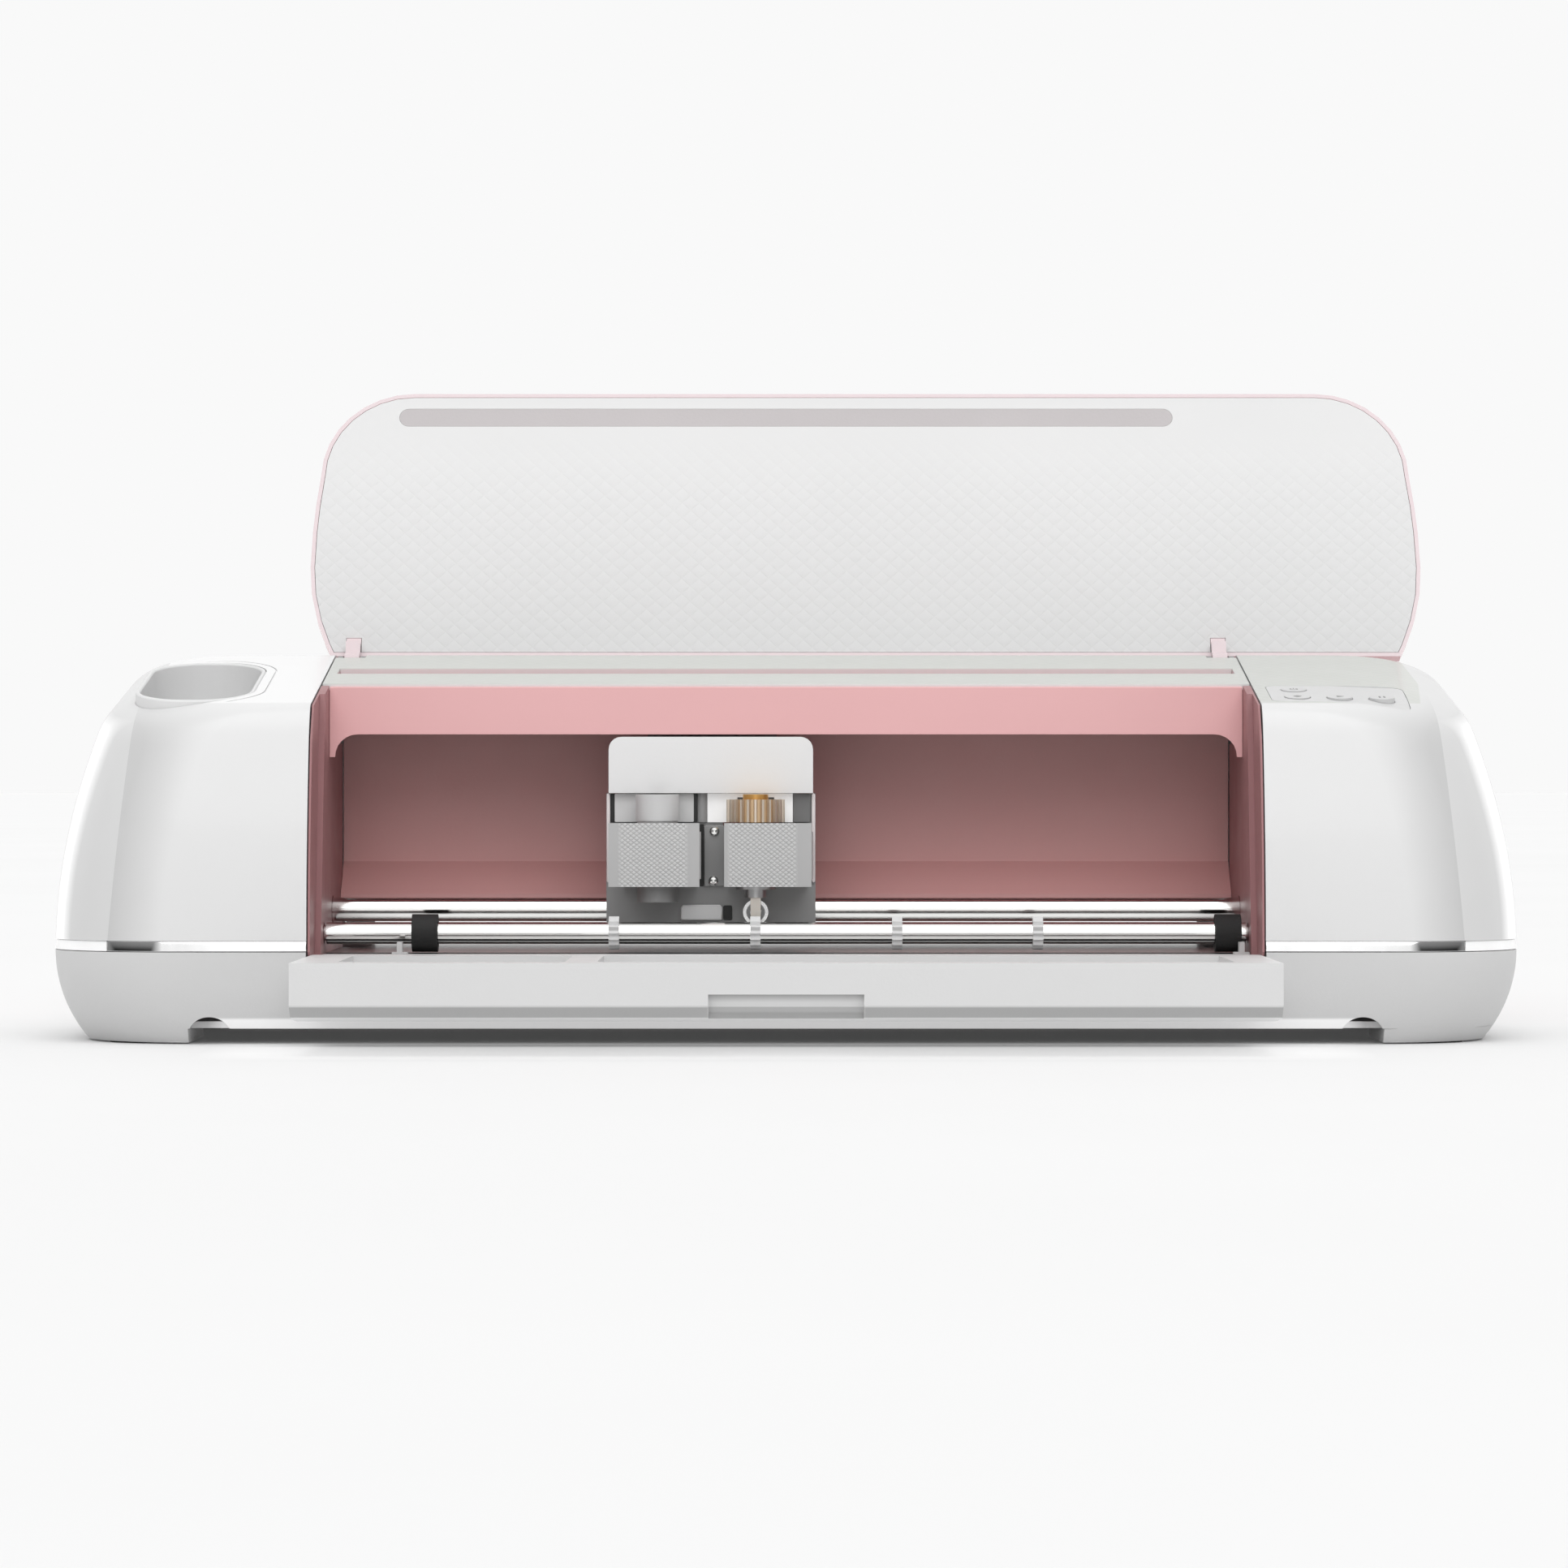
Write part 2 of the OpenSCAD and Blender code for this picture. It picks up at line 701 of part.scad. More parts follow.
module front_bed() color("gainsboro") {
  block([-180.6, -65, 31.2], [180.6, -57.6, mat_z - 0.3]);
  block([-180.6, -60, belly_z + wall], [180.6, -57.6, 31.2 + eps]);
}

module driven_roller() color("dimgray") {
  x_bar(feed_r, -half_open + 4, half_open - 4, feed_y, feed_z);
  x_bar(journal_r, -plate_x - plate_t, gear_x + 7, feed_y, feed_z);
}

module feed_gear() color("ivory")
  translate([gear_x, feed_y, feed_z]) rotate([0, 90, 0])
    difference() {
      linear_extrude(height = 6) polygon(gear_outline(feed_teeth, feed_module));
      translate([0, 0, -1]) cylinder(r = journal_r + 0.02, h = 9, $fn = 48);
    }

module feed_pinion() color("goldenrod")
  translate([gear_x, feed_y + feed_mesh, feed_z]) rotate([0, 90, 0]) {
    rotate(90 + 180 / feed_pinion_teeth)
      linear_extrude(height = 7) polygon(gear_outline(feed_pinion_teeth, feed_module));
    translate([0, 0, 7 - eps]) cylinder(r = 1.5, h = 8, $fn = 32);
  }

module feed_motor() color("dimgray")
  difference() {
    x_bar(15, gear_x + 9, gear_x + 45, feed_y + feed_mesh, feed_z);
    x_bar(1.55, gear_x + 8, gear_x + 20, feed_y + feed_mesh, feed_z);
  }

shaft_r = 4.3;
module star_shaft() color("silver") {
  x_bar(shaft_r, -half_open + 4, half_open - 4, feed_y, star_z);
  x_bar(journal_r, -plate_x - plate_t, plate_x + plate_t, feed_y, star_z);
}

star_points = 16;
module star_wheels() color("whitesmoke")
  for (x = star_xs)
    translate([x - 2, feed_y, star_z]) rotate([0, 90, 0])
      difference() {
        linear_extrude(height = 4)
          polygon([for (k = [0:2 * star_points - 1]) (star_r - (k % 2) * 0.9)
            * [cos(k * 180 / star_points), sin(k * 180 / star_points)]]);
        translate([0, 0, -1]) cylinder(r = shaft_r + 0.02, h = 6, $fn = 48);
      }

pinch_w = 10;
module pinch_rollers() color("black")
  for (x = pinch_xs)
    translate([x - pinch_w / 2, feed_y, star_z]) rotate([0, 90, 0])
      difference() {
        cylinder(r = pinch_r, h = pinch_w, $fn = 64);
        translate([0, 0, -1]) cylinder(r = shaft_r + 0.02, h = pinch_w + 2, $fn = 48);
      }

// Angled fences that the mat's edges run against
module mat_guides() color("white")
  for (g = [[-150.5, -1], [mat_half + 5.5, 1]]) {
    block([g[0] - 1, -65, mat_z], [g[0] + 1, -58.8, mat_z + 4.5]);
    block([g[0] - 3, -65, mat_z - 0.3], [g[0] + 3, -58.8, mat_z + 0.6]);
  }

// ---------- carriage drive ----------

module guide_rod() color("silver")
  x_bar(rod_r, -plate_x - plate_t, plate_x + plate_t, rod_y, rod_z);

module support_rail() color("silver")
  block([-plate_x - plate_t, rail_y - 2, rail_z - 4], [plate_x + plate_t, rail_y + 2, rail_z + 4]);

module belt_loop(r, height) {
  block([idler_x, belt_y - r, belt_z - height / 2], [drive_x, belt_y + r, belt_z + height / 2]);
  for (x = [idler_x, drive_x])
    translate([x, belt_y, belt_z - height / 2]) cylinder(r = r, h = height, $fn = 48);
}

module drive_belt() color("black")
  difference() {
    belt_loop(pulley_r + belt_t + 0.3, belt_h);
    belt_loop(pulley_r + 0.3, belt_h + 2);
  }

module pulley(x) {
  translate([x, belt_y, belt_z]) {
    translate([0, 0, -3.5]) cylinder(r = pulley_r, h = 7, $fn = 48);
    for (z = [-5, 3.7])
      translate([0, 0, z]) cylinder(r = pulley_r + 2, h = 1.3, $fn = 48);
    translate([0, 0, -11]) cylinder(r = 1.5, h = 20, $fn = 32);
  }
}
module drive_pulley() color("silver") pulley(drive_x);
module idler_pulley() color("silver") pulley(idler_x);

module carriage_motor() color("dimgray")
  difference() {
    translate([drive_x, belt_y, 80]) linear_extrude(height = 38) polygon(round_rect(36, 36, 5, 4));
    translate([drive_x, belt_y, 110]) cylinder(r = 1.55, h = 20, $fn = 32);
  }

// ---------- carriage ----------

bush_r = 7;
bush_gap = 22;
frame_t = 3.4;
shoe_low = 119.6;
shoe_top = 129.4;
pinion_pin_r = 1.5;
module carriage_frame() color("gray") {
  half = carriage_w / 2 + 1;
  cx = carriage_x;
  difference() {
    union() {
      block([cx - half, frame_front, frame_low], [cx + half, frame_front + frame_t, cover_low - 0.1]);
      block([cx - 34, frame_front + 3, 41], [cx + 34, -1, 61]);
      block([cx - 34, frame_front + 3, 90], [cx + 34, 22, cover_low - 0.1]);
      block([cx - 26, cover_back + 0.3, 90], [cx + 26, 22, shoe_low + 1]);
      block([cx - 26, rail_y - 6, shoe_low], [cx + 26, rail_y + 6, shoe_top]);
      block([cx - 10, 22 - eps, 122], [cx + 10, belt_y - pulley_r - belt_t - 0.6, shoe_top]);
      for (side = [-1, 1])
        block([cx + side * 30 - 3, frame_front + 3, 60], [cx + side * 30 + 3, -6, 91]);
    }
    block([cx - 40, rail_y - 2.3, rail_z - 4.3], [cx + 40, rail_y + 2.3, far]);
    x_bar(bush_r + 0.02, cx - 50, cx + 50, rod_y, rod_z);
    block([tool_b_x - 13, frame_front - 1, 73], [tool_b_x + 13, frame_front + frame_t + 0.1, cover_low + 1]);
    translate([tool_b_x, tool_y + tool_mesh, 89]) cylinder(r = pinion_pin_r + fit, h = 10, $fn = 32);
  }
}

module carriage_cover() color("white") {
  half = carriage_w / 2;
  round_top = 5;
  arcs = [for (k = [0:5]) [half - round_top * (1 - sin(k * 18)), cover_top - round_top * (1 - cos(k * 18))]];
  outer = concat(arcs, [[half, cover_low]]);
  inner = [[half - 2, cover_low - 1], [half - 2, cover_top - 5], [half - 5, cover_top - 2]];
  translate([carriage_x, 0, 0])
    difference() {
      y_extrude(cover_front, cover_back, both_sides(outer));
      y_extrude(cover_front + 2, cover_back - 2, both_sides(inner));
    }
}

module rod_bushings() color("goldenrod")
  for (side = [-1, 1])
    difference() {
      x_bar(bush_r, carriage_x + side * bush_gap - 11, carriage_x + side * bush_gap + 11, rod_y, rod_z);
      x_bar(rod_r + fit, carriage_x + side * bush_gap - 12, carriage_x + side * bush_gap + 12, rod_y, rod_z);
    }

// How far each clamp's gate reaches to the left and right of its tool
gate_a_reach = [19, 16.8];
gate_b_reach = [12.3, 22];
gate_pin_r = 1.2;
gate_pin_y = -44;
gate_pin_in = 2;

// One tool clamp: half collar, and two lugs with the pin that its gate turns on
module tool_clamp(x, reach) {
  pin_x = x + reach[1] - gate_pin_in;
  difference() {
    union() {
      block([x - min(reach[0] - 1, 14), gate_split + 0.4, clamp_low],
        [pin_x + 0.8, frame_front - 0.4, clamp_high]);
      for (z = [clamp_low, clamp_high - 3])
        block([pin_x - 3.6, gate_pin_y - 0.9, z], [pin_x + 0.8, frame_front - 1, z + 3]);
    }
    translate([x, tool_y, clamp_low - 1]) cylinder(r = socket_r + 0.02, h = 50, $fn = 64);
  }
  translate([pin_x, gate_pin_y, clamp_low + 1])
    cylinder(r = gate_pin_r, h = clamp_high - clamp_low - 2, $fn = 32);
}
module clamp_a() color("darkgray") tool_clamp(tool_a_x, gate_a_reach);
module clamp_b() color("darkgray")
  difference() {
    tool_clamp(tool_b_x, gate_b_reach);
    translate([tool_b_x, tool_y + tool_mesh, 73.4]) cylinder(r = 6, h = 20, $fn = 48);
  }

// Gate that shuts round the front of a tool, with its barrel on the clamp's pin
module tool_gate(x, reach) {
  pin_x = x + reach[1] - gate_pin_in;
  barrel_low = clamp_low + 3.2;
  barrel_high = clamp_high - 3.2;
  difference() {
    union() {
      block([x - reach[0], gate_front, clamp_low + 0.2],
        [x + reach[1], gate_front + gate_t, clamp_high + 0.2]);
      block([x - reach[0], gate_front, barrel_low], [x + 5, gate_split - 0.2, barrel_high]);
      block([x, gate_front, barrel_low], [pin_x, gate_pin_y - 0.5, barrel_high]);
      translate([pin_x, gate_pin_y, barrel_low]) cylinder(r = 2.6, h = barrel_high - barrel_low, $fn = 32);
    }
    for (swing = [0:5:40])
      translate([pin_x, gate_pin_y, 0]) rotate(-swing)
        translate([x - pin_x, tool_y - gate_pin_y, clamp_low - 1])
          cylinder(r = socket_r + 0.4, h = 50, $fn = 64);
    translate([pin_x, gate_pin_y, clamp_low - 1]) cylinder(r = gate_pin_r + fit, h = 40, $fn = 32);
  }
}
module gate_a() color("silver") tool_gate(tool_a_x, gate_a_reach);
module gate_b() color("silver") tool_gate(tool_b_x, gate_b_reach);

// Sleeve that narrows clamp A to a pen
module accessory_adapter() color("lightgray")
  translate([tool_a_x, tool_y, 0])
    difference() {
      union() {
        translate([0, 0, 54]) cylinder(r = socket_r, h = 33, $fn = 64);
        translate([0, 0, 86]) cylinder(r = socket_r + 0.6, h = 10.5, $fn = 64);
      }
      translate([0, 0, 50]) cylinder(r = pen_r, h = 50, $fn = 64);
    }

module rotary_housing() color("silver")
  translate([tool_b_x, tool_y, 0])
    difference() {
      union() {
        translate([0, 0, clamp_low - 1]) cylinder(r = socket_r, h = 26.2, $fn = 64);
        translate([0, 0, spindle_low + 0.2]) cylinder(r = spindle_r + 1.4, h = 4, $fn = 48);
      }
      translate([0, 0, 50]) cylinder(r = spindle_r + fit, h = 50, $fn = 48);
    }

// Gold gear with the spindle and fork that carry the blade
module tool_gear() color("goldenrod")
  translate([tool_b_x, tool_y, 0]) {
    translate([0, 0, gear_low])
      linear_extrude(height = gear_h) polygon(gear_outline(tool_teeth, tool_module));
    translate([0, 0, gear_low]) cylinder(r = 5, h = 11, $fn = 48);
    translate([0, 0, spindle_low]) cylinder(r = spindle_r, h = gear_low - spindle_low + 1, $fn = 48);
    for (side = [-1, 1])
      block([-2, side * 1.6 - 0.8, blade_z - 2], [2, side * 1.6 + 0.8, spindle_low + eps]);
    translate([0, 2, blade_z]) rotate([90, 0, 0]) cylinder(r = 0.8, h = 4, $fn = 32);
  }

module rotary_blade() color("silver")
  translate([tool_b_x, tool_y, blade_z]) rotate([90, 0, 0])
    difference() {
      cylinder(r = blade_r, h = 0.8, center = true, $fn = 64);
      cylinder(r = 0.85, h = 4, center = true, $fn = 32);
    }

module tool_pinion() color("white")
  translate([tool_b_x, tool_y + tool_mesh, 74]) {
    rotate(90 + 180 / tool_pinion_teeth)
      linear_extrude(height = 15.6) polygon(gear_outline(tool_pinion_teeth, tool_module));
    translate([0, 0, 15.5]) cylinder(r = pinion_pin_r, h = 6, $fn = 32);
  }

// ---------- electrics ----------

module main_board() color("darkgreen")
  block([30, 50, 50], [170, 51.6, 112]);

module power_inlet() color("black")
  translate([inlet_x, 0, socket_z]) difference() {
    union() {
      block([-7, 51.6, -6], [7, 84, 8]);
      translate([0, 84 - eps, 0]) rotate([-90, 0, 0]) cylinder(r = 4.8, h = 5, $fn = 48);
    }
    difference() {
      translate([0, 72, 0]) rotate([-90, 0, 0]) cylinder(r = 2.8, h = 30, $fn = 48);
      translate([0, 70, 0]) rotate([-90, 0, 0]) cylinder(r = 0.9, h = 17, $fn = 32);
    }
  }

module usb_port() color("silver")
  difference() {
    block([usb_x - 6.2, 51.6, socket_z - 6], [usb_x + 6.2, 88.5, socket_z + 6]);
    block([usb_x - 4.4, 72, socket_z - 4], [usb_x + 4.4, 99, socket_z + 4]);
  }

// ---------- every node, moved so the origin is under the middle ----------

module place() translate([0, shift_y, 0]) children();

place() base_tub();
place() foot_pads();
place() base_screws();
place() left_housing();
place() right_housing();
place() left_side_cap();
place() right_side_cap();
place() trim_strips();
place() rear_cover();
place() top_bridge();
place() bridge_fascia();
place() dock_liner();
place() back_wall();
place() jambs();
place() cup_liner();
place() keypad_panel();
place() button_board();
place() side_plates();
place() platen();
place() front_bed();
place() guide_rod();
place() support_rail();
place() drive_belt();
place() carriage_motor();
place() feed_motor();
place() main_board();
place() power_inlet();
place() usb_port();
place() mat_guides();
place() lid_brackets();
place() door_pins();
place() power_button();
place() load_button();
place() pause_button();
place() go_button();
place() lid_shell();
place() lid_inner_panel();
place() lid_grip_strip();
place() front_door();
place() door_inner_panel();
place() driven_roller();
place() feed_gear();
place() feed_pinion();
place() star_shaft();
place() star_wheels();
place() pinch_rollers();
place() drive_pulley();
place() idler_pulley();
place() carriage_frame();
place() carriage_cover();
place() rod_bushings();
place() clamp_a();
place() gate_a();
place() accessory_adapter();
place() clamp_b();
place() gate_b();
place() rotary_housing();
place() tool_gear();
place() tool_pinion();
place() rotary_blade();
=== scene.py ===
import json
import math

import bmesh
import bpy
from mathutils import Matrix, Vector


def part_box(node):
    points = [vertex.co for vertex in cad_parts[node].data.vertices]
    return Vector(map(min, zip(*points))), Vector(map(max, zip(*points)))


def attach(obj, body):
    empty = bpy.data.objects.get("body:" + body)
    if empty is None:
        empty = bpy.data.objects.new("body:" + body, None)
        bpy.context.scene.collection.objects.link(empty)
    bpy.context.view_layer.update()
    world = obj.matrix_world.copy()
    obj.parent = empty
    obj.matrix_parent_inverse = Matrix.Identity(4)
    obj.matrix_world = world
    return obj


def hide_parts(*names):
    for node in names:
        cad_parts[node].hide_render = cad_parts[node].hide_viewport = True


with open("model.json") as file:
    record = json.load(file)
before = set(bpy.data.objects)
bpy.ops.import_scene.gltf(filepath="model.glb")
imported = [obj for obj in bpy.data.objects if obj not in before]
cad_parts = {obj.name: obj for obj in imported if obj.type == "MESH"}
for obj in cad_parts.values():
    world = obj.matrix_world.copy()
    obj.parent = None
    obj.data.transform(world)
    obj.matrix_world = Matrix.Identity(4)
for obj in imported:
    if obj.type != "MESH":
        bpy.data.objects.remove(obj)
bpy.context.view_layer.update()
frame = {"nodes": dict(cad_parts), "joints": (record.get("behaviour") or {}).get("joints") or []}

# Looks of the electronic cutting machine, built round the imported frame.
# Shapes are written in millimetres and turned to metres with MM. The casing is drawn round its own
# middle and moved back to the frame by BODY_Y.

MM = 0.001
NODES = frame["nodes"]
JOINTS = {joint["name"]: joint for joint in frame["joints"]}


def middle_of(node):
    """Middle of a CAD node's box, in metres."""
    low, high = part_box(node)
    return (low + high) / 2


# ---------------------------------------------------------------- places taken from the frame

LID_AXIS = Vector(JOINTS["lid_hinge"]["pos_m"])
BASE_LOW, BASE_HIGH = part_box("base_tub")
BODY_Y = (BASE_LOW.y + BASE_HIGH.y) / 2
BODY_W = (BASE_HIGH.x - BASE_LOW.x) / MM
BODY_D = (BASE_HIGH.y - BASE_LOW.y) / MM
SPLIT_Z = BASE_HIGH.z / MM
HALF_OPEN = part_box("jambs")[1].x / MM
GEAR_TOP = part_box("tool_gear")[1].z
GEAR_AXIS = middle_of("tool_gear")
BLADE_AXIS = middle_of("rotary_blade")
COVER_LOW, COVER_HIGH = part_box("carriage_cover")
CARRIAGE_X = (COVER_LOW.x + COVER_HIGH.x) / 2 / MM
COVER_FOOT = COVER_LOW.z / MM
DOOR_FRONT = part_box("front_door")[0].y

# ---------------------------------------------------------------- sizes shared by looks and shapes

WALL = 2.5
CREST_Y = 44.0
DECK_TILT = math.radians(11)
LUG_X = 178
DIAMOND = (7.2 * MM, 6.4 * MM)
GATE_SCALE = (2.3 * MM, 1.8 * MM)
GEAR_FOOT = GEAR_TOP - 11.5 * MM

# the part of the deck that the lid shuts on: its end, how far that leans out towards the back,
# its foot, its front and its back
DECK_END = 246 * MM
DECK_FLARE = 0.1
DECK_LOW = 132.4 * MM
DECK_FRONT = BASE_LOW.y + 16 * MM
DECK_BACK = BODY_Y + CREST_Y * MM

# the door's sloping lower edge starts below this height
DOOR_FOLD = 18.6 * MM
SCOOP_HALF = 29 * MM
SCOOP_DEEP = 8 * MM

# the base's bottom edge has a painted glow, standing in for light from the floor, below this height and
# between these places across
BASE_BOUNCE = 0.32
BASE_EDGE = 9.6 * MM
BASE_EDGE_HALF = 218 * MM

WHITE = (1, 1, 1, 1)


def edge(start, end):
    """Two places across the carriage, counted from its middle, in the frame's metres."""
    return (CARRIAGE_X + start) * MM, (CARRIAGE_X + end) * MM


# ---------------------------------------------------------------- node material helpers


class Nodes:
    """A node tree that is built step by step."""

    def __init__(self, tree):
        self.tree = tree

    def add(self, kind, inputs=None, **settings):
        """A new node, with values or links for its inputs."""
        node = self.tree.nodes.new(kind)
        for key, value in settings.items():
            setattr(node, key, value)
        for key, value in (inputs or {}).items():
            self.put(node.inputs[key], value)
        return node

    def put(self, socket, value):
        """Links a socket, or sets its value."""
        if isinstance(value, bpy.types.NodeSocket):
            self.tree.links.new(value, socket)
        else:
            socket.default_value = value

    def axes(self, vector):
        """The X, Y and Z sockets of a vector."""
        return self.add("ShaderNodeSeparateXYZ", {0: vector}).outputs

    def math(self, operation, a, b=0.0):
        """One sum on two numbers or sockets."""
        return self.add("ShaderNodeMath", {0: a, 1: b}, operation=operation).outputs[0]

    def size(self, value):
        """A number without its sign."""
        return self.math("ABSOLUTE", value)

    def product(self, *shares):
        """Several shares multiplied together."""
        result = shares[0]
        for share in shares[1:]:
            result = self.math("MULTIPLY", result, share)
        return result

    def ramp(self, value, low, high, start=0.3, end=0.7):
        """Number that runs from low to high while the value runs from start to end."""
        node = self.add("ShaderNodeMapRange", {0: value, 1: start, 2: end, 3: low, 4: high})
        return node.outputs[0]

    def part_way(self, share, a, b):
        """Number part way from a to b, where b may be a socket."""
        return self.add("ShaderNodeMix", {0: share, 2: a, 3: b}, data_type="FLOAT").outputs[0]

    def mix(self, share, a, b):
        """Colour part way from a to b."""
        return self.add("ShaderNodeMix", {0: share, 6: a, 7: b}, data_type="RGBA").outputs[2]


class Look(Nodes):
    """A material round one Principled shader."""

    def __init__(self, name):
        self.material = bpy.data.materials.new(name)
        self.material.use_nodes = True
        super().__init__(self.material.node_tree)
        self.shader = self.tree.nodes["Principled BSDF"]
        self.place = self.add("ShaderNodeTexCoord").outputs["Object"]
        self.here = self.axes(self.place)

    def set(self, **values):
        """Shader inputs by name, with _ for each space."""
        for key, value in values.items():
            self.put(self.shader.inputs[key.replace("_", " ")], value)

    def facing(self, kind="ShaderNodeTexCoord"):
        """Way the surface faces: in the rest frame, or as posed with ShaderNodeNewGeometry."""
        return self.axes(self.add(kind).outputs["Normal"])

    def noise(self, scale, detail=4.0, rough=0.55, stretch=(1, 1, 1)):
        mapped = self.add("ShaderNodeMapping", {"Vector": self.place, "Scale": stretch}).outputs[0]
        settings = {"Vector": mapped, "Scale": scale, "Detail": detail, "Roughness": rough}
        return self.add("ShaderNodeTexNoise", settings).outputs["Fac"]

    def mottled(self, dark, scale=9.0, detail=3.0):
        """Share of the colour that is left by broad, faint clouds."""
        return self.ramp(self.noise(scale, detail), dark, 1.0)

    def near_axis(self, axis, *names):
        """Distance from an axis, measured along the two named directions."""
        offsets = [self.math("SUBTRACT", self.here[name], getattr(axis, name.lower())) for name in names]
        return self.math("SQRT", self.math("ADD", *[self.product(offset, offset) for offset in offsets]))

    def diamonds(self, across, along, cell):
        """Rows of overlapping diamonds as a height from 0 to 1."""
        u = self.math("MULTIPLY", across, math.pi / cell[0])
        v = self.math("MULTIPLY", along, math.pi / cell[1])
        one = self.size(self.math("SINE", self.math("ADD", u, v)))
        two = self.size(self.math("SINE", self.math("SUBTRACT", u, v)))
        return self.math("POWER", self.product(one, two), 0.55)

    def dimmed(self, colour, light):
        """Colour darkened to a share of itself."""
        return self.mix(light, (0, 0, 0, 1), opaque(colour))

    def paint(self, colour, light):
        self.set(Base_Color=self.dimmed(colour, light))

    def uneven(self, rough, high=1.12):
        """Gloss that varies a little over the surface."""
        self.set(Roughness=self.ramp(self.noise(60.0), rough * 0.9, rough * high))

    def bump(self, height, distance, strength=1.0):
        node = self.add("ShaderNodeBump", {"Height": height, "Distance": distance, "Strength": strength})
        self.set(Normal=node.outputs[0])

    def skin(self, depth, scale=900.0):
        """The fine grain of a moulded surface, its depth in millimetres."""
        self.bump(self.noise(scale, 2.0), depth * MM, 0.5)


def srgb(*values):
    """Linear colour from 0 to 255 display values."""
    if len(values) == 1:
        values = values * 3
    return tuple(((v / 255 + 0.055) / 1.055) ** 2.4 if v > 10 else v / 255 / 12.92 for v in values)


def shaded(colour, share):
    """Colour scaled to a share of itself."""
    return tuple(c * share for c in colour)


def opaque(colour):
    return (*colour, 1)


# ---------------------------------------------------------------- kinds of material


def plastic(name, colour, rough, grain=0.06, coat=0.0, spread=0.03, glow=0.0):
    """Moulded plastic: faint mottling, uneven gloss and a fine skin. glow adds a painted glow."""
    look = Look(name)
    clouds = look.ramp(look.noise(9.0, 3.0), 0.0, 1.0)
    look.set(Base_Color=look.mix(clouds, opaque(shaded(colour, 1 - spread)), opaque(colour)))
    look.set(Coat_Weight=coat, Coat_Roughness=0.08, Emission_Color=WHITE, Emission_Strength=glow)
    look.uneven(rough)
    look.skin(grain)
    return look.material


def painted_rim_highlight(look, facing, strength):
    """Painted highlight: a glow on an upright lacquered edge seen almost side on, standing in for its
    reflection.
    """
    slant = look.add("ShaderNodeLayerWeight", {"Blend": 0.5}).outputs["Facing"]
    upright = look.ramp(look.size(facing["Z"]), 1.0, 0.0, 0.45, 0.75)
    return look.product(look.ramp(slant, 0.0, strength, 0.52, 0.68),
                        look.ramp(slant, 1.0, 0.0, 0.86, 0.97), upright)


def deck_mask(look, facing):
    """1 on the flat top that the lid shuts on, 0 on the rest of the casing."""
    lean = look.product(look.math("SUBTRACT", look.here["Y"], DECK_FRONT), DECK_FLARE)
    reach = look.math("SUBTRACT", look.here["X"], lean)
    return look.product(look.ramp(facing["Z"], 0.0, 1.0, 0.3, 0.36),
                        look.ramp(reach, 1.0, 0.0, DECK_END, DECK_END + 0.6 * MM),
                        look.ramp(look.here["Z"], 0.0, 1.0, DECK_LOW - 0.5 * MM, DECK_LOW),
                        look.ramp(look.here["Y"], 1.0, 0.0, DECK_BACK, DECK_BACK + 2 * MM))


def casing_plastic(name, colour, rough, turn=1.0, rim=0.0, deck=None, emboss=1.0):
    """Glossy shell plastic. turn is the share of colour left where the wall turns to the side, as
    painted shade, and rim the strength of a painted highlight along its edges. deck is the colour of
    the flat top, and emboss how deep the diamonds on it are."""
    look = Look(name)
    facing = look.facing("ShaderNodeNewGeometry")
    # painted shade where the wall turns to the side
    turn_shade = look.ramp(look.size(facing["X"]), 1.0, turn, 0.04, 0.46)
    surface = look.dimmed(colour, look.product(look.mottled(0.985), turn_shade))
    height = look.product(look.noise(900.0, 2.0), 0.25)
    if deck:
        flat = deck_mask(look, facing)
        surface = look.mix(flat, surface, opaque(deck))
        diamonds = look.diamonds(look.here["X"], look.here["Y"], DIAMOND)
        height = look.math("ADD", height, look.product(flat, diamonds, emboss))
    if rim:
        look.set(Emission_Color=WHITE, Emission_Strength=painted_rim_highlight(look, facing, rim))
    look.set(Base_Color=surface, Coat_Weight=0.3, Coat_Roughness=0.08)
    look.uneven(rough)
    look.bump(height, 0.12 * MM, 0.5)
    return look.material


def graded(name, colour, rough, low, high, ledge):
    """Plastic with painted shade: its share of colour runs between two height and share pairs.
    ledge scales it where the surface faces up, as painted light."""
    look = Look(name)
    up = look.facing("ShaderNodeNewGeometry")["Z"]
    look.paint(colour, look.product(look.mottled(0.97),
                                    look.ramp(look.here["Z"], low[1], high[1], low[0], high[0]),
                                    look.ramp(up, 1.0, ledge, 0.15, 0.5)))
    look.uneven(rough, 1.1)
    look.skin(0.08)
    return look.material


def metal(name, colour, rough, stretch=(1, 1, 1), scale=700.0, depth=0.01):
    """Bare metal with fine drawn or turned lines along the stretched axis."""
    look = Look(name)
    lines = look.noise(scale, 3.0, 0.6, stretch)
    share = look.ramp(lines, 0.0, 1.0)
    look.set(Metallic=1.0, Base_Color=look.mix(share, opaque(shaded(colour, 0.88)), opaque(colour)))
    look.set(Roughness=look.ramp(lines, rough * 0.8, rough * 1.25))
    look.bump(lines, depth * MM, 0.4)
    return look.material


